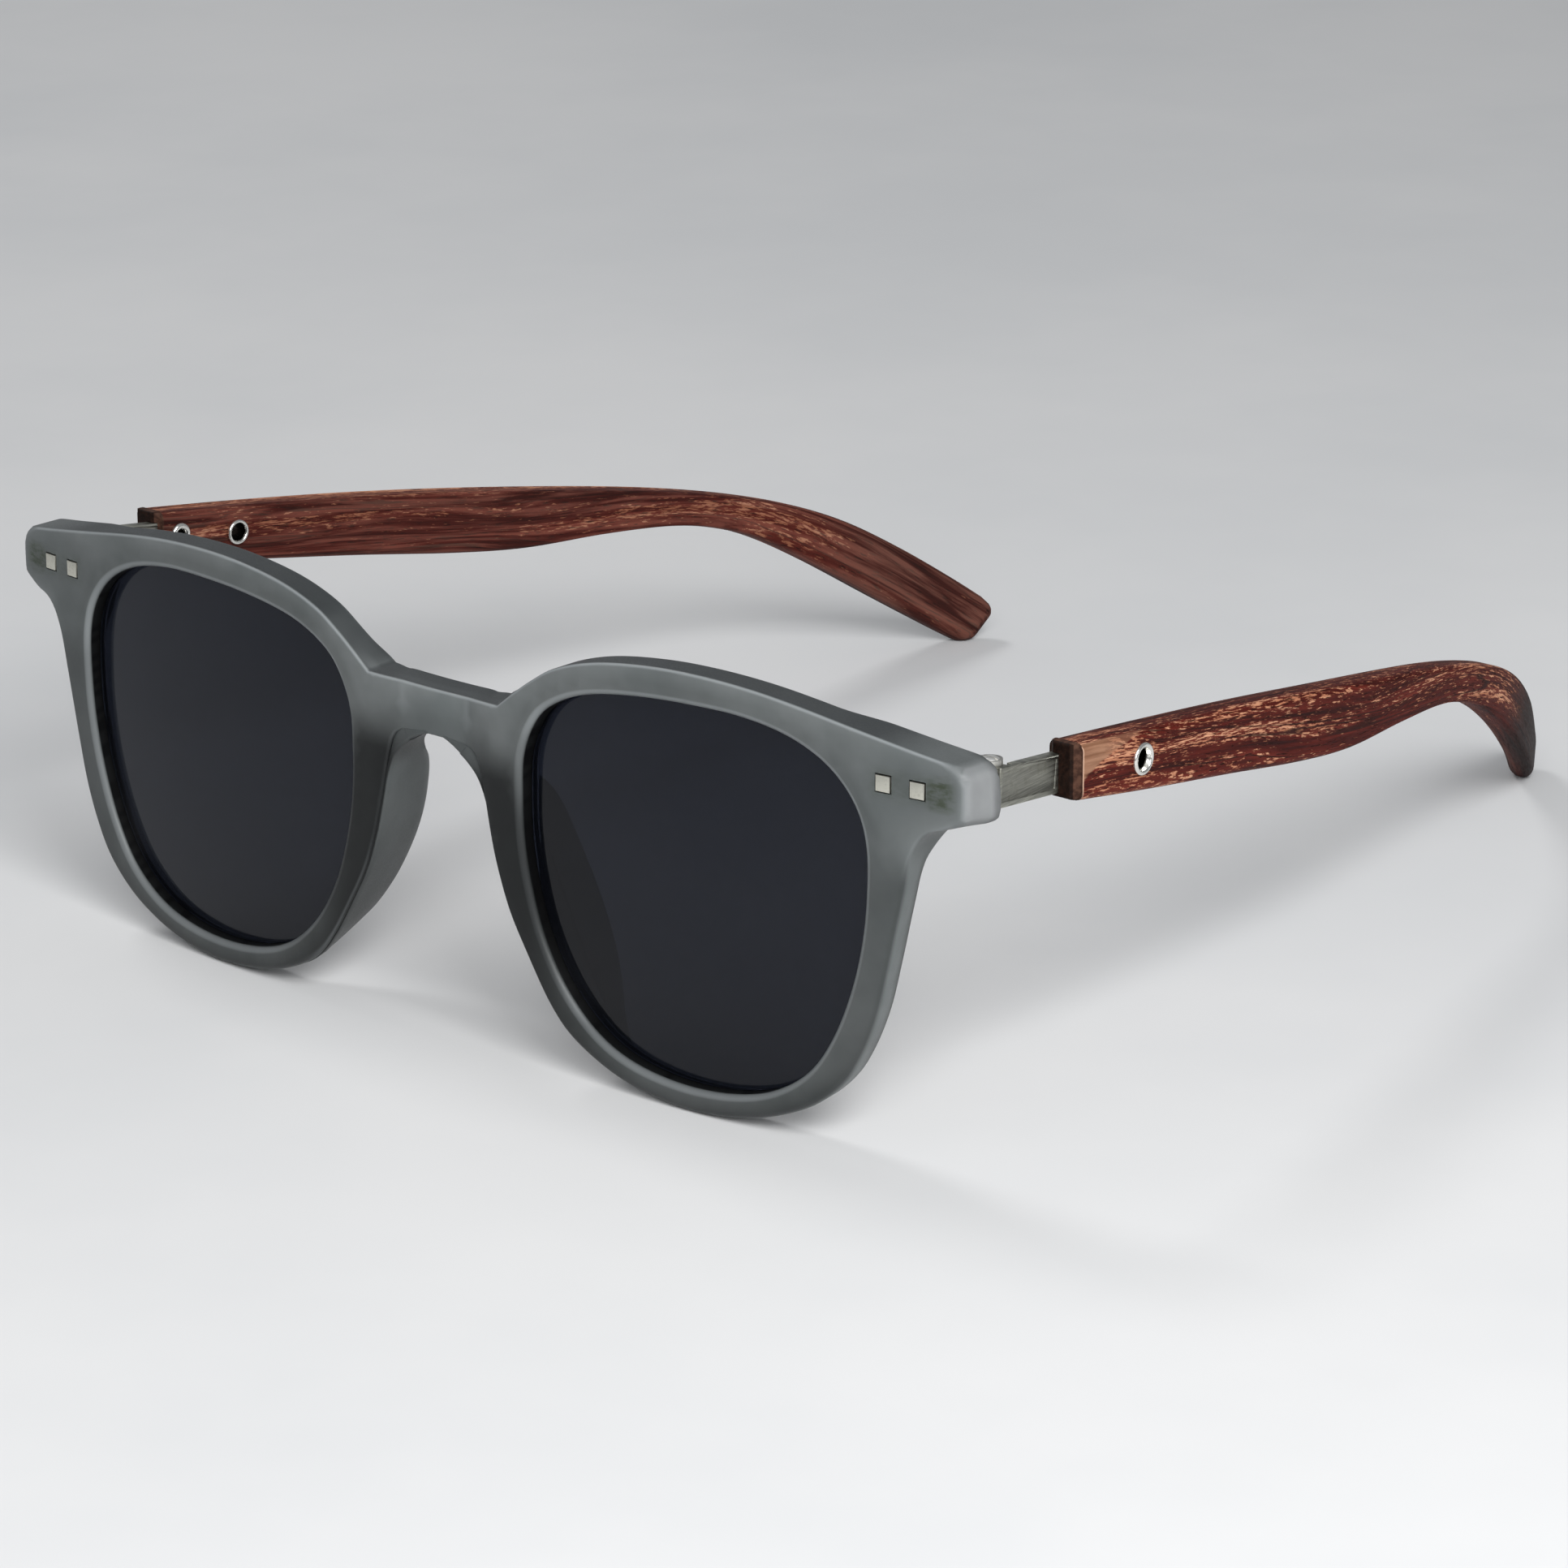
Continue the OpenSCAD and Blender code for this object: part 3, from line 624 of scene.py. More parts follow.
def sheet2d(rings, w_outer, r_lens):
    """Points and triangles of the front seen from ahead, dense where the edges round over."""
    p2, edges, loops = [], [], []
    for lp in rings:
        n0 = len(p2)
        p2 += list(lp)
        idx = list(range(n0, n0 + len(lp)))
        loops.append(idx)
        edges += [(idx[i], idx[(i + 1) % len(idx)]) for i in range(len(idx))]
    extra = []
    for j, lp in enumerate(rings):
        nv = normals(lp) * (-1 if j == 0 else 1)
        for th in QUARTER:
            r = w_outer(lp[:, 0], lp[:, 1]) if j == 0 else np.full(len(lp), r_lens)
            d = r * (1 - math.cos(th))
            q = lp + nv * d[:, None]
            keep = dist(q, rings) > 0.985 * d - 1e-4
            extra.append(q[keep])
    g = []
    for i, z in enumerate(np.arange(-42, 9, 1.05)):
        for x in np.arange(-72, 72.1, 1.2):
            g.append([x + (0.6 if i % 2 else 0), z])
    g = np.array(g)
    g = g[inside(g, rings[0]) & ~inside(g, LENS_L) & ~inside(g, LENS_R)]
    do, dl = dist(g, rings[:1]), dist(g, rings[1:])
    g = g[(do > w_outer(g[:, 0], g[:, 1]) + 0.4) & (dl > r_lens + 0.4)]
    for c in CREASE:
        g = g[np.abs(np.abs(g[:, 0]) - c) > 0.35]
    creases = []
    for c in (-CREASE[1], -CREASE[0], CREASE[0], CREASE[1]):
        zs = np.arange(-30, 8, 0.6)
        q = np.stack([np.full(len(zs), c), zs], 1)
        q = q[inside(q, rings[0]) & ~inside(q, LENS_L) & ~inside(q, LENS_R)]
        q = q[(dist(q, rings) > 0.3) & (q[:, 1] > -20)]
        creases.append(q)
    p2 = np.concatenate([np.array(p2)] + extra + [g] + creases)
    vs, _, fs, ov, _, _ = delaunay_2d_cdt([Vector(q) for q in p2], edges, [], 0, 1e-6)
    vs = np.array([(v.x, v.y) for v in vs])
    back = {}
    for i, o in enumerate(ov):
        for k in o:
            back[k] = i
    c = np.array([vs[list(f)].mean(0) for f in fs])
    ok = inside(c, rings[0]) & ~inside(c, LENS_L) & ~inside(c, LENS_R)
    tris = [f for f, k in zip(fs, ok) if k]
    used = sorted({i for f in tris for i in f})
    new = {o: i for i, o in enumerate(used)}
    return vs[used], [tuple(new[i] for i in f) for f in tris], [[new[back[i]] for i in lp] for lp in loops]


def dip(d, w, h):
    """How far a rounded edge falls away at distance d from the edge."""
    t = np.clip(1 - d / w, 0, 1)
    return h * (1 - np.sqrt(np.maximum(0, 1 - t * t)))


def build_front():
    back_loops = [back_outline(), LENS_L, LENS_R]
    f2, ft, fl = sheet2d(LOOPS, r_outer, R_LENS)
    b2, bt, bl = sheet2d(back_loops, back_w, R_LENS_BACK)
    x, z = f2.T
    fy = face_y(x) + dip(dist(f2, LOOPS[:1]), r_outer(x, z), r_outer(x, z)) + dip(dist(f2, LOOPS[1:]), R_LENS, R_LENS)
    x, z = b2.T
    by = back_y(x, z) - dip(dist(b2, back_loops[:1]), back_w(x, z), back_h(x, z)) - dip(dist(b2, LOOPS[1:]), R_LENS_BACK, R_LENS_BACK)
    V = np.concatenate([np.stack([f2[:, 0], fy, f2[:, 1]], 1), np.stack([b2[:, 0], by, b2[:, 1]], 1)])
    nf = len(f2)
    F = [tuple(t) for t in ft] + [tuple(nf + i for i in t[::-1]) for t in bt]
    verts = list(V)
    for j, lp in enumerate(LOOPS):
        rows = [fl[j]]
        if not j:
            near, far = np.array([verts[i] for i in fl[0]]), np.array([verts[nf + i] for i in bl[0]])
            for t in (0.12, 0.3, 0.5, 0.7, 0.88):
                rows.append(list(range(len(verts), len(verts) + len(lp))))
                verts += list(mix(near, far, t))
        else:
            nv = normals(lp)
            wy = WRAP * lp[:, 0] ** 2
            for y, s in ((2.15, 0.0), (2.75, 0.62), (3.35, 0.0)):
                base = len(verts)
                q = lp + nv * s
                verts += [np.array([a, c, b]) for (a, b), c in zip(q, wy + y)]
                rows.append(list(range(base, base + len(lp))))
        rows.append([nf + i for i in bl[j]])
        for r0, r1 in zip(rows, rows[1:]):
            m = len(lp)
            F += [(r0[i], r0[(i + 1) % m], r1[(i + 1) % m], r1[i]) for i in range(m)]
    ob = mesh_object("front_moulding", stand(np.array(verts)), F)
    tools = []
    for s in (1, -1):
        tools.append(solid_box((0.15, -0.95, -2.25), (9.05, 3, 2.25), end_frame, s))
        for rx in RIVET_X:
            h = RIVET_SIDE / 2 + 0.17
            tools.append(solid_box((-h, -h, -2), (h, h, 1.0), rivet_frame(rx), s))
            tools.append(solid_rod(0.65, (0, 0, 0.5), (0, 0, 8), rivet_frame(rx), s, 24))
    cut(ob, tools)
    shade(ob, 38)
    hold(ob)
    # shade: painted shade where the nose pads stand behind and on the walls of the lens openings, and the hinge plates
    # behind the face
    p = unstand(coords(ob))
    xz = np.stack([p[:, 0], p[:, 2]], 1)
    axz = np.stack([np.abs(p[:, 0]), p[:, 2]], 1)
    path = run([[7.6, -4.8]] + PAD_PATH, n=6) + np.array([1.2, 0.0])
    dp = np.sqrt(((axz[:, None] - path[None]) ** 2).sum(-1)).min(1)
    # painted shade where the nose pads stand behind
    pad_shade = ease((5.6 - dp) / 3.2) * ease((-4.4 - p[:, 2]) / 5.5) * (1 - ease((np.abs(p[:, 0]) - 12.5) / 17.0))
    depth = p[:, 1] - WRAP * p[:, 0] ** 2
    dl = dist(xz, LOOPS[1:])
    # wall: painted shade on the lens openings' walls and, below, in the rivet pockets
    wall = ((dl < 0.9) & (depth > 0.55) & (depth < 3.6)) * ease((0.25 - dl) / 0.2) * ease((depth - 0.45) / 0.35)
    wall = np.where(inside(xz, LENS_L) | inside(xz, LENS_R), 1.0, wall)
    wall = np.where((depth > 2.0) & (depth < 3.5) & (dl < 0.75), 1.0, wall)
    for rx in RIVET_X:
        pocket = (np.abs(np.abs(p[:, 0]) - rx) < RIVET_SIDE / 2 + 0.3) & (np.abs(p[:, 2]) < RIVET_SIDE / 2 + 0.3) & (depth > 0.3) & (depth < 2)
        wall[pocket] = 1.0
    plate = mix(0.3, 1.0, ease((np.abs(p[:, 0]) - 65.4) / 0.5)) * ease((np.abs(p[:, 0]) - 58.6) / 0.8) * ease((69.0 - np.abs(p[:, 0])) / 0.5) * ease((1.7 - np.abs(p[:, 2])) / 0.6) * (depth < 3)
    attribute(ob, "shade", np.stack([pad_shade, wall, plate], 1))
    nv = np.zeros(len(p) * 3, np.float32)
    ob.data.vertex_normals.foreach_get("vector", nv)
    nv = nv.reshape(-1, 3).astype(float) @ STAND
    ahead, beside = np.maximum(0, -nv[:, 1]), np.hypot(nv[:, 0], nv[:, 2])
    zone, do = rim_zone(p[:, 0], p[:, 2]), dist(xz, LOOPS[:1])
    tail = ease((np.abs(p[:, 0]) - 66.5) / 2.5)
    # top: painted shade on the faces that look upwards
    top = ease((nv[:, 2] - 0.55) / 0.4) * (1 - wall) * (1 - 0.7 * ease((np.abs(p[:, 0]) - 58) / 8))
    corner = (2 * ahead * beside) * (depth < 1.8) * (do < 1.8)
    under = np.maximum(ease((-3.0 - p[:, 2]) / 1.5) * ease((np.abs(p[:, 0]) - 55) / 5), ease((-4.5 - p[:, 2]) / 1.5) * ease((12.0 - np.abs(p[:, 0])) / 3))
    # edge: painted highlight along the rounded front edges, then the lens-opening edges and the bridge creases
    edge = corner ** 3 * (1 - 0.9 * zone) * (1 - 0.8 * pad_shade) * (1 - 0.7 * tail) * (1 - 0.8 * under)
    nasal = ease((21.0 - np.abs(p[:, 0])) / 5.0) * ease((-1.0 - p[:, 2]) / 4.0)
    edge = np.maximum(edge, mix(0.75, 0.5, zone) * (1 - 0.7 * nasal) * (1 - 0.6 * pad_shade) * ease((0.8 - dl) / 0.35) * ease((ahead - 0.05) / 0.3) * (depth < 1.2))
    crease = np.exp(-((np.abs(p[:, 0]) - CREASE[0]) / 0.35) ** 2) * ease((p[:, 2] + 6.2) / 3.0)
    edge = np.maximum(edge, 0.22 * crease * (ahead > 0.7))
    # painted light and shade: rims darker, darkest at their outer front corner and back edge, pale on the side between;
    # the brow pales upwards
    wide = ease((beside - 0.75) / 0.2) * (1 - wall) * zone * (do < 1.2)
    behind = ease((depth - 1.9) / 1.2) * ease((1.6 - do) / 0.8) * zone
    front_of = ease((ahead - 0.6) / 0.3) * (1 - zone) * (1 - pad_shade)
    painted_shading = (1 - 0.36 * zone) * (1 - 0.3 * zone * corner ** 2) * (1 + 1.0 * wide * (1 - behind)) * (1 - 0.75 * behind)
    painted_shading = painted_shading * (1 + front_of * (0.3 * np.exp(-do / 1.1) - 0.16 * np.exp(-((dl - 1.2) / 0.8) ** 2)))
    painted_shading = painted_shading * (1 - 0.35 * front_of * ease((9.5 - np.abs(p[:, 0])) / 2) * ease((-3.6 - p[:, 2]) / 3))
    painted_shading = painted_shading * (1 - 0.45 * tail * ease((depth - RIM_DEPTH - END_EXTRA + 1.3) / 1.0) * ease((1.2 - do) / 0.6))
    painted_shading = painted_shading * (1 - 0.45 * ease((-26.0 - p[:, 2]) / 9) * ease((ahead - 0.3) / 0.4) * np.exp(-(do / 1.8) ** 2))
    painted_shading = painted_shading * (1 + 0.2 * front_of * ease((5.4 - np.abs(p[:, 0])) / 0.8))
    attribute(ob, "painted_shading", np.stack([painted_shading, painted_shading, painted_shading], 1))
    for rx in RIVET_X:
        near = (np.abs(np.abs(p[:, 0]) - rx) < 1.7) & (np.abs(p[:, 2]) < 1.7)
        edge[near] = 0
    # end: painted light on the end pieces' side faces
    end = ease((np.abs(nv[:, 0]) - 0.42) / 0.48) * ease((np.abs(p[:, 0]) - 67.5) / 1.5)
    attribute(ob, "edges", np.stack([edge, top, end], 1))
    paint(ob, MAT_FRONT)
    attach(ob, "front")
    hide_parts("frame_front")


def build_pad(side, tag):
    """Nose pad: its inner face starts at the rim's front edge and flares back to a rounded ridge; its top fills the corner under the bridge."""
    n0 = 8
    path = run([[0.4, -5.3], [3.2, -5.2], [5.7, -6.0]] + PAD_PATH + [[27.6, -39.2]], n=n0)
    rise = run([[r] for r in [0.0, 0.0, 0.12, 0.36] + PAD_RISE[1:] + [0.0]], n=n0)[:, 0]
    wide = run([[w] for w in [0.8, 1.0, 1.5] + PAD_WIDE + [0.8]], n=n0)[:, 0]
    lip = run([[v] for v in (0.5, 0.34, 0.3, 0.34, 0.4, 0.44, 0.44, 0.44, 0.46, 0.55, 0.8, 1.4, 2.3)], n=n0)[:, 0]
    low = np.clip(run([[v] for v in (1, 1, 1, 0.7, 0.1, 0, 0, 0, 0, 0, 0, 0, 0)], n=n0)[:, 0], 0, 1)
    tuck = np.clip(run([[v] for v in (0, 0, 0, 0, 0, 0, 0, 0, 0, 0, 0, 0.25, 1)], n=n0)[:, 0], 0, 1)
    hide = np.clip(run([[v] for v in (0.35, 0.16, 0, 0, 0, 0, 0, 0, 0, 0, 0, 0, 0)], n=n0)[:, 0], 0, 1)
    n, pts = len(path), []
    for i in range(n):
        t = path[min(i + 1, n - 1)] - path[max(i - 1, 0)]
        t /= np.linalg.norm(t)
        q = np.array([-t[1], t[0]])
        # how far the inner face lies from the path, towards the nose
        reach = np.linspace(0, 4, 161)
        ray = path[i] - q * reach[:, None]
        out = ~inside(ray, FILLED)
        d = (reach[out.argmax()] if out.any() else 0.6) * (1 - 0.8 * tuck[i]) - hide[i]
        w, h, l, deep = wide[i], PAD_HEIGHT * rise[i], lip[i], RIM_DEPTH - 0.9 * tuck[i]
        a, b = np.array([-d - 0.05, l + 0.3]), np.array([mix(0.22 * w, -0.8 * d, low[i]), deep + 0.84 * h])
        if b[1] < a[1] + 0.5:
            b[1] = a[1] + 0.5
        line = [a + (b - a) * k / 9 - np.array([0.12 * math.sin(math.pi * k / 9), 0]) for k in range(10)]
        sec = [[-0.2 * d, l + 0.5], [-d + 0.4, l + 0.06], [-d + 0.16, l + 0.05], [-d + 0.02, l + 0.12]] + [list(v) for v in line]
        over = run([b, [0.33 * w, deep + 0.955 * h], [0.48 * w, deep + h], [0.66 * w, deep + 0.955 * h], [0.84 * w, deep + 0.72 * h],
                    [0.95 * w, deep + 0.36 * h], [w, deep + 0.03]], n=4)
        sec += [list(v) for v in over[1:]] + [[0.5 * w, deep + 0.02], [-0.15 * d, min(l + 1.4, deep - 0.1)]]
        for u, y in sec:
            c = path[i] + q * u
            pts.append([c[0], WRAP * c[0] ** 2 + y, c[1]])
    m = len(sec)
    pts = np.array(pts)
    faces = [tuple(range(m)), tuple(range(n * m - 1, (n - 1) * m - 1, -1))]
    faces += [(i * m + j, i * m + (j + 1) % m, (i + 1) * m + (j + 1) % m, (i + 1) * m + j) for i in range(n - 1) for j in range(m)]
    pts[:, 0] *= side
    ob = mesh_object("nose_rest_" + tag, stand(pts), faces, 50)
    hold(ob)
    # painted shade: darker where it faces ahead, under the bridge
    nv = np.zeros(len(ob.data.vertices) * 3, np.float32)
    ob.data.vertex_normals.foreach_get("vector", nv)
    ahead = ease((-nv.reshape(-1, 3)[:, 1] - 0.25) / 0.5)
    z = unstand(coords(ob))[:, 2]
    up, sunk = ease((z + 13.0) / 4.0), mix(0.3, 1.0, ease((-6.2 - z) / 5.0))
    zero = np.zeros(len(ahead))
    attribute(ob, "shade", np.stack([np.maximum(0.12, np.maximum(ahead * sunk, 0.7 * up * (1 - ahead))), zero, zero], 1))
    attribute(ob, "edges", np.zeros((len(ahead), 3)))
    # and painted shade, darker towards its foot
    foot = 1 - 0.55 * ease((-13.0 - unstand(coords(ob))[:, 2]) / 20.0)
    attribute(ob, "painted_shading", np.stack([foot, foot, foot], 1))
    paint(ob, MAT_FRONT)
    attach(ob, "front")
    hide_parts("nose_pad_" + tag)


def build_lens(side, tag):
    """Doubly curved lens with a V edge that sits in the rim's groove."""
    lp = LENS_L
    nv = normals(lp)
    g = np.array([[x + (0.9 if i % 2 else 0), z] for i, z in enumerate(np.arange(-40, 6, 1.55)) for x in np.arange(10, 62, 1.8)])
    edge = lp - nv * 0.08
    g = g[inside(g, edge)]
    g = g[dist(g, [edge]) > 0.8]
    inner = lp - nv * 0.45
    p2 = np.concatenate([edge, inner, g])
    m = len(lp)
    vs, _, fs, _, _, _ = delaunay_2d_cdt([Vector(q) for q in p2], [(i, (i + 1) % m) for i in range(m)], [], 0, 1e-6)
    vs = np.array([(v.x, v.y) for v in vs])
    c = np.array([vs[list(f)].mean(0) for f in fs])
    tris = [f for f, k in zip(fs, inside(c, edge)) if k]

    def sag(q):
        rho = ((q[:, 0] - 35.5) / 23.5) ** 2 + ((q[:, 1] + 17.3) / 22) ** 2
        return WRAP * q[:, 0] ** 2 + 1.95 - 0.85 * (1 - np.minimum(rho, 1.3))

    fy = sag(vs)
    by = fy + 1.7
    nvts = len(vs)
    V = list(np.stack([vs[:, 0], fy, vs[:, 1]], 1)) + list(np.stack([vs[:, 0], by, vs[:, 1]], 1))
    F = [tuple(t) for t in tris] + [tuple(nvts + i for i in t[::-1]) for t in tris]
    rows = [list(range(m))]
    wy = WRAP * lp[:, 0] ** 2
    for y, s in ((2.25, -0.08), (2.75, 0.5), (3.25, -0.08)):
        q = lp + nv * s
        rows.append(list(range(len(V), len(V) + m)))
        yy = np.clip(wy + y, fy[:m] + 0.1, by[:m] - 0.1)
        V += [np.array([a, cc, b]) for (a, b), cc in zip(q, yy)]
    rows.append([nvts + i for i in range(m)])
    for r0, r1 in zip(rows, rows[1:]):
        F += [(r0[i], r0[(i + 1) % m], r1[(i + 1) % m], r1[i]) for i in range(m)]
    V = np.array(V)
    V[:, 0] *= side
    ob = mesh_object("tinted_lens_" + tag, stand(V), F, 30)
    paint(ob, MAT_LENS)
    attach(ob, "front")
    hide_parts("lens_" + tag)


# ---------------------------------------------------------------------------
# Wooden temples
# ---------------------------------------------------------------------------
def rounded(t, h, r, nc=7, ns=3):
    """Rounded rectangle, t across and h high."""
    out = []
    corners = [(1, 1, 0), (-1, 1, 90), (-1, -1, 180), (1, -1, 270)]
    for k, (a, b, s) in enumerate(corners):
        arc = [[a * (t / 2 - r) + r * math.cos(math.radians(s + 90 * i / (nc - 1))),
                b * (h / 2 - r) + r * math.sin(math.radians(s + 90 * i / (nc - 1)))] for i in range(nc)]
        out += arc
        a2, b2, s2 = corners[(k + 1) % 4]
        nxt = [a2 * (t / 2 - r) + r * math.cos(math.radians(s2)), b2 * (h / 2 - r) + r * math.sin(math.radians(s2))]
        out += [[mix(arc[-1][0], nxt[0], i / ns), mix(arc[-1][1], nxt[1], i / ns)] for i in range(1, ns)]
    return np.array(out)


UP, LO, MID = run(EDGE_UP, n=10), run(EDGE_LO, n=10), run(MID_LINE, n=12)


def wood_ring(i, shift, inset, chamfer=0.0):
    n = len(UP)
    U, L, f = UP[i], LO[i], i / (n - 1)
    up = (U - L) / np.linalg.norm(U - L)
    along = np.array([up[1], -up[0]])
    c = (U + L) / 2 + along * shift
    t = mix(WOOD_T0, WOOD_T1, f) - 2 * inset
    h = np.linalg.norm(U - L) - 2 * inset
    q = rounded(t, h, min(mix(WOOD_ROUND, WOOD_ROUND + 0.7, f * f), t / 2 - 0.15))
    lim = t / 2 + inset - max(chamfer, inset)
    q[:, 0] = np.clip(q[:, 0], -lim, lim)
    p = c + up * q[:, 1:2]
    return np.stack([np.interp(p[:, 0], MID[:, 0], MID[:, 1]) + q[:, 0], p[:, 0], p[:, 1]], 1)


def build_wood(side, tag):
    n = len(UP)
    plan = [(0, 0.0, 0.36, 1.05), (0, 0.05, 0.18, 1.0), (0, 0.18, 0.05, 0.85), (0, 0.36, 0.0, 0.66), (0, 1.05, 0.0, 0.0)]
    plan += [(i, 0.0, 0.0) for i in range(1, n - 4)]
    plan += [(n - 1, -1.7, 0.0), (n - 1, -1.2, 0.08), (n - 1, -0.7, 0.3), (n - 1, -0.3, 0.65), (n - 1, -0.08, 1.05), (n - 1, 0.0, 1.45)]
    rings = [wood_ring(*g) for g in plan]
    m = len(rings[0])
    V = np.concatenate(rings)
    k = len(rings)
    F = [(i * m + j, i * m + (j + 1) % m, (i + 1) * m + (j + 1) % m, (i + 1) * m + j) for i in range(k - 1) for j in range(m)]
    F += [tuple(range(m)), tuple(range(k * m - 1, (k - 1) * m - 1, -1))]
    V[:, 0] *= side
    ob = mesh_object("wood_temple_" + tag, stand(V), F)
    tools = [solid_box((BLADE_X - 0.04, 4, BLADE_Z - TONGUE_H / 2 - 0.04), (BLADE_X + BLADE_T + 0.04, BLADE_Y1 + 0.1, BLADE_Z + TONGUE_H / 2 + 0.04), temple, side),
             solid_rod(1.33, (-5, EYELET_AT, EYELET_Z), (7, EYELET_AT, EYELET_Z), temple, side, 48),
             solid_rod(1.03, (-5, INNER_AT, INNER_Z), (2.6, INNER_AT, INNER_Z), temple, side, 32)]
    cut(ob, tools)
    shade(ob, 40)
    hold(ob)
    # grain: length along the temple, across its thickness, up its height
    p = unstand(coords(ob))
    p[:, 0] *= side
    mid = (UP + LO) / 2
    seg = np.linalg.norm(np.diff(mid, axis=0), axis=1)
    arc = np.concatenate([[0], np.cumsum(seg)])
    yz = p[:, 1:]
    a, ab = mid[:-1], np.diff(mid, axis=0)
    t = ((yz[:, None] - a[None]) * ab).sum(-1) / (ab ** 2).sum(1)
    tc = np.clip(t, 0, 1)
    q = a[None] + tc[..., None] * ab
    d = np.linalg.norm(yz[:, None] - q, axis=-1)
    i = d.argmin(1)
    rows = np.arange(len(p))
    tt = np.where((i == 0) | (i == len(ab) - 1), t[rows, i], tc[rows, i])
    s = arc[i] + tt * seg[i]
    nrm = np.stack([-ab[i, 1], ab[i, 0]], 1) / seg[i][:, None]
    v = ((yz - (a[i] + tt[:, None] * ab[i])) * nrm).sum(1)
    u = p[:, 0] - np.interp(p[:, 1], MID[:, 0], MID[:, 1])
    off = 37.0 if side > 0 else 211.0
    attribute(ob, "grain", np.stack([s + off, u, v], 1))
    # ends: distance from the front end, depth below the outer face, how far into the drop
    f = np.interp(p[:, 1], UP[:, 0], np.linspace(0, 1, len(UP)))
    attribute(ob, "ends", np.stack([p[:, 1] - 22.0, mix(WOOD_T0, WOOD_T1, f) / 2 - u, ease((s - 100) / 13)], 1))
    paint(ob, MAT_WOOD)
    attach(ob, "temple_" + tag)
    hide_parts("temple_wood_" + tag)


# ---------------------------------------------------------------------------
# Metal pieces
# ---------------------------------------------------------------------------
def arc_pts(cx, cy, r, a0, a1, n):
    return [[cx + r * math.cos(math.radians(mix(a0, a1, i / n))), cy + r * math.sin(math.radians(mix(a0, a1, i / n)))] for i in range(n + 1)]


def bore(ob, at, z, side, r):
    """Painted shade: marks the dark inside of a hollow rivet."""
    p = unstand(coords(ob))
    p[:, 0] *= side
    q = (p - np.array([AXIS_X, AXIS_Y, 0])) @ TEMPLE - np.array([0, at, z])
    d = np.hypot(q[:, 1], q[:, 2])
    attribute(ob, "bore", np.stack([ease((r - d) / 0.05), d, d], 1))


def build_eyelet(side, tag):
    # profile as [radius, along]; the outer lip is a rounded roll, the inner one smaller
    o, i = EYELET_OUT - 0.05, EYELET_IN
    prof = [[1.05, i - 0.1], [1.05, o - 0.35], [1.12, o - 0.05]]
    prof += arc_pts(1.5, o + 0.12, 0.27, 180, 0, 10)
    prof += [[1.77, o + 0.0], [1.3, o + 0.0], [1.3, i], [1.5, i]]
    prof += arc_pts(1.29, i - 0.14, 0.2, 0, -180, 8)
    place = lambda p: temple(np.asarray(p) + np.array([0, EYELET_AT, EYELET_Z]))
    ob = lathe("eyelet_ring_" + tag, prof, place, side)
    hold(ob)
    bore(ob, EYELET_AT, EYELET_Z, side, 1.12)
    paint(ob, MAT_EYELET)
    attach(ob, "temple_" + tag)
    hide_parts("temple_eyelet_" + tag)
    i = RIVET_IN
    prof = [[0.02, 2.45], [0.02, 1.6], [0.62, 1.6], [0.62, i - 0.1]]
    prof += arc_pts(1.0, i - 0.1, 0.36, 180, 360, 10)
    prof += [[1.36, i], [1.0, i], [1.0, 2.45]]
    place = lambda p: temple(np.asarray(p) + np.array([0, INNER_AT, INNER_Z]))
    ob = lathe("pin_rivet_" + tag, prof, place, side, 48)
    bore(ob, INNER_AT, INNER_Z, side, 0.66)
    paint(ob, MAT_EYELET)
    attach(ob, "temple_" + tag)
    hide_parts("inner_rivet_" + tag)


def soften(node, width, segments, mat, angle=30):
    """Rounds the edges of a metal piece of the construction and gives it its finish."""
    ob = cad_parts[node]
    w = ob.modifiers.new("weld", "WELD")
    w.merge_threshold = 1e-6
    b = ob.modifiers.new("round", "BEVEL")
    b.width, b.segments, b.limit_method, b.angle_limit = width / 1000.0, segments, "ANGLE", math.radians(angle)
    b.use_clamp_overlap = True
    b.harden_normals = False
    ob.data.polygons.foreach_set("use_smooth", np.ones(len(ob.data.polygons), bool))
    paint(ob, mat)


build_front()
for side, tag in ((1, "left"), (-1, "right")):
    build_pad(side, tag)
    build_lens(side, tag)
    build_wood(side, tag)
    build_eyelet(side, tag)
    soften("hinge_tongue_" + tag, 0.07, 2, MAT_STEEL)
    soften("hinge_plate_" + tag, 0.08, 2, MAT_PLATE)
    soften("hinge_screw_" + tag, 0.05, 2, MAT_SCREW)
    for w in ("inner", "outer"):
        soften(f"front_rivet_{tag}_{w}", 0.16, 3, MAT_RIVET)

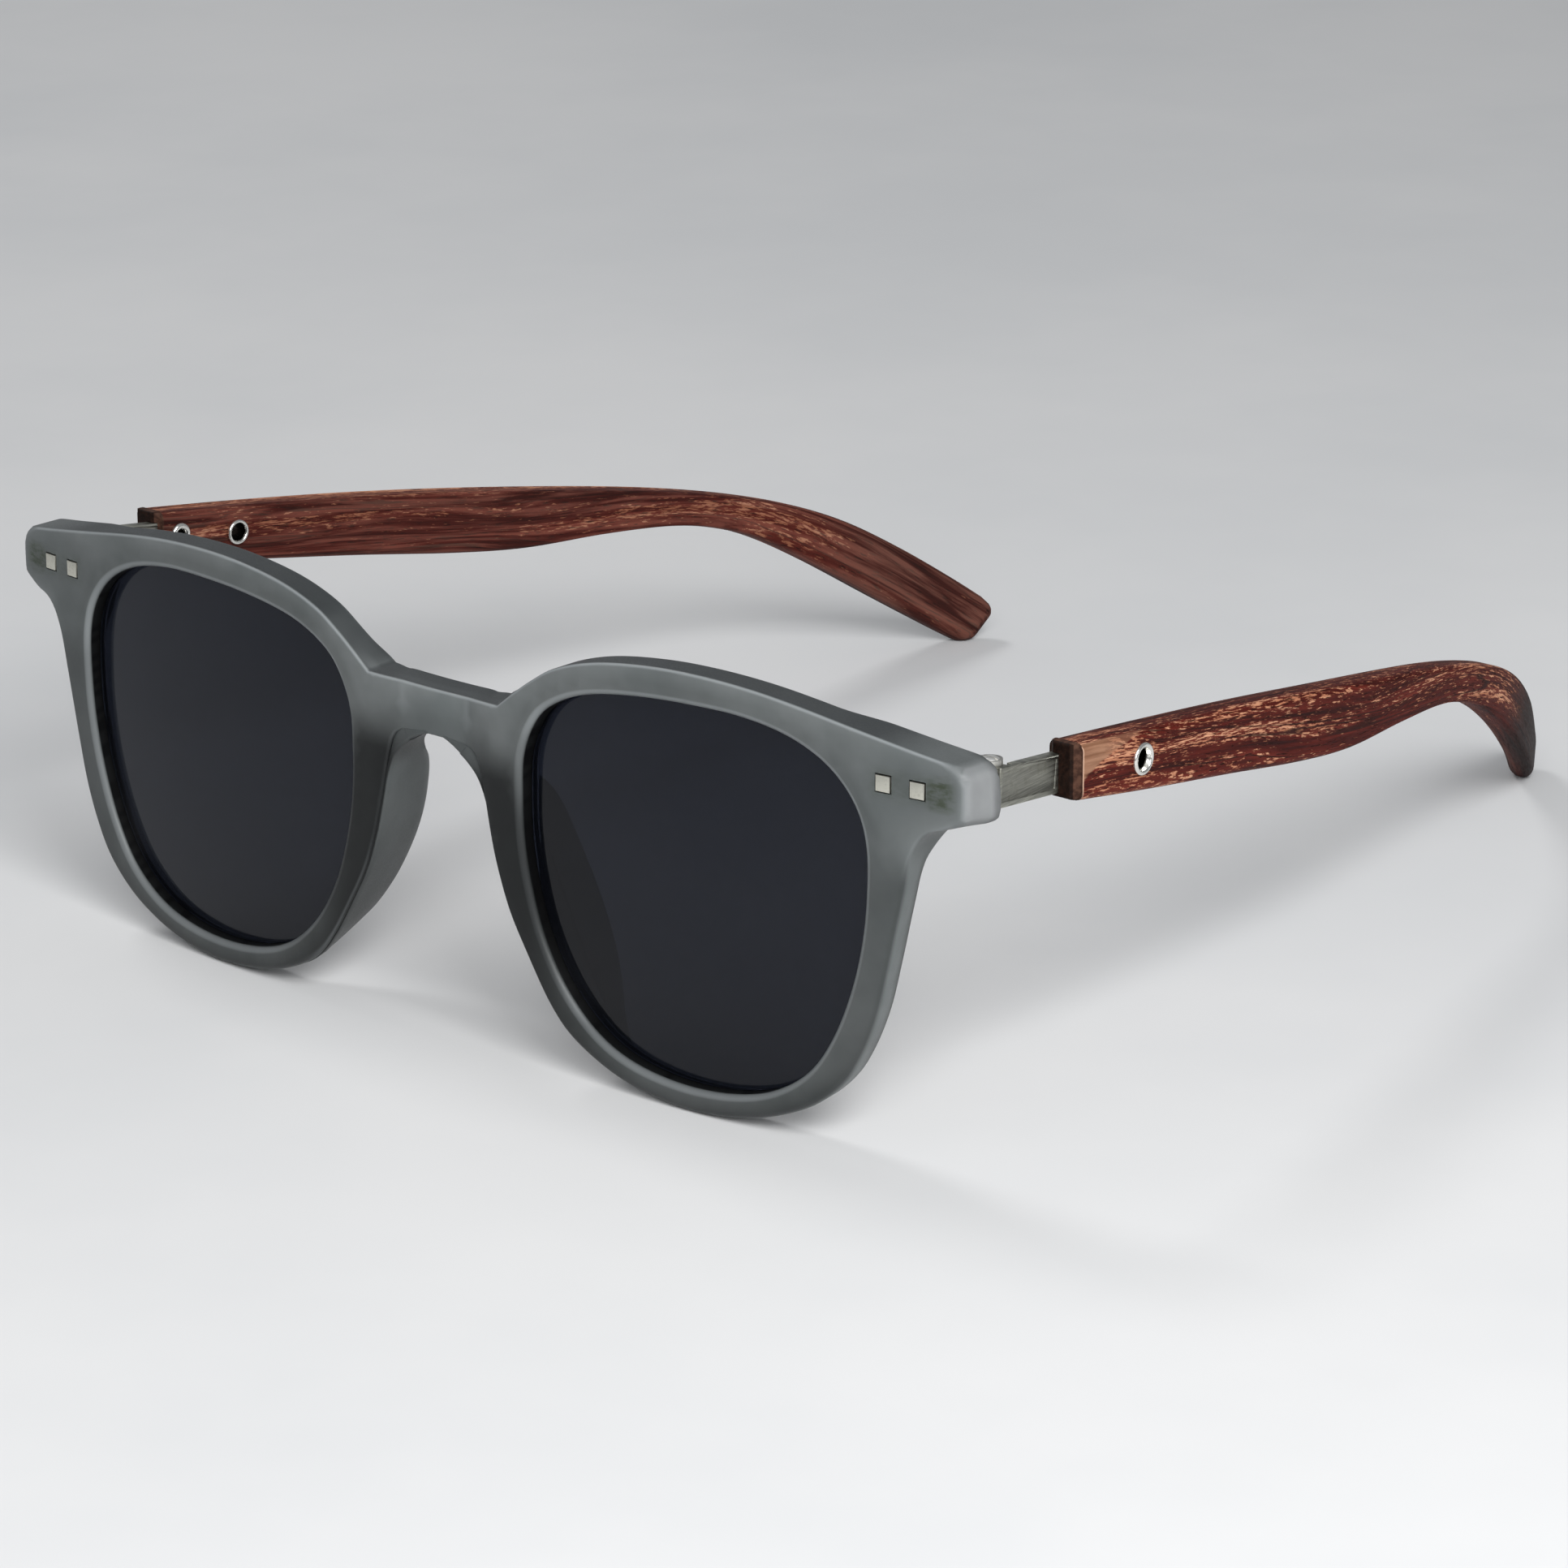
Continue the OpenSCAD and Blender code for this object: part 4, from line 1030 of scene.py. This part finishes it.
# ---------------------------------------------------------------------------
# Floor, light and camera
# ---------------------------------------------------------------------------
def floor():
    n = 40
    xs = np.linspace(-4, 4, n + 1)
    V = [[x, y, 0.0] for x in xs for y in xs]
    F = [(i * (n + 1) + j, (i + 1) * (n + 1) + j, (i + 1) * (n + 1) + j + 1, i * (n + 1) + j + 1) for i in range(n) for j in range(n)]
    ob = mesh_object("floor", V, F)
    k = Nodes("pale_floor")
    p = k.coord((1, 1, 1))
    col = k.mix(k.ramp(k.noise(p, 6, 5, 0.6), 0.3, 0.7), lin(208, 209, 210), lin(217, 217, 217))
    paint(ob, k.set(Base_Color=col, Roughness=0.85))


def area(name, at, to, size, watts, colour=(1, 1, 1)):
    d = bpy.data.lights.new(name, "AREA")
    d.shape, d.size, d.energy, d.color = "DISK", size, watts, colour
    ob = bpy.data.objects.new(name, d)
    scene.collection.objects.link(ob)
    ob.location = at
    ob.rotation_mode = "QUATERNION"
    ob.rotation_quaternion = (Vector(to) - Vector(at)).to_track_quat("-Z", "Y")


floor()
world = bpy.data.worlds.new("studio")
scene.world = world
world.use_nodes = True
world.node_tree.nodes["Background"].inputs["Color"].default_value = (0.93, 0.96, 1.0, 1)
world.node_tree.nodes["Background"].inputs["Strength"].default_value = 0.29
area("key", (0.46, -0.26, 0.46), (0.02, -0.03, 0.02), 0.3, 3.0)
area("fill", (0.45, -0.55, 0.42), (0.03, -0.05, 0.02), 0.4, 2.8)
area("edge", (-0.7, 0.1, 0.85), (0, -0.03, 0.02), 0.3, 2.6)

AZ, EL, ROLL, FOCAL, CAM = math.radians(41.34), math.radians(17.928), math.radians(-0.108), 7145.0, np.array([419.63, -419.85, 179.56])
fwd = np.array([-math.sin(AZ) * math.cos(EL), math.cos(AZ) * math.cos(EL), -math.sin(EL)])
right = np.array([math.cos(AZ), math.sin(AZ), 0.0])
upv = np.cross(right, fwd)
right, upv = math.cos(ROLL) * right + math.sin(ROLL) * upv, -math.sin(ROLL) * right + math.cos(ROLL) * upv
cam_data = bpy.data.cameras.new("camera")
cam_data.sensor_width = 36.0
cam_data.lens = 36.0 * FOCAL / 1932.0
cam_data.clip_start, cam_data.clip_end = 0.02, 50.0
cam = bpy.data.objects.new("camera", cam_data)
scene.collection.objects.link(cam)
axes = np.stack([STAND @ right, STAND @ upv, -(STAND @ fwd)], 1)
m = np.eye(4)
m[:3, :3] = axes
m[:3, 3] = stand(CAM)
cam.matrix_world = Matrix(m.tolist())
scene.camera = cam
scene.view_settings.view_transform = "Standard"
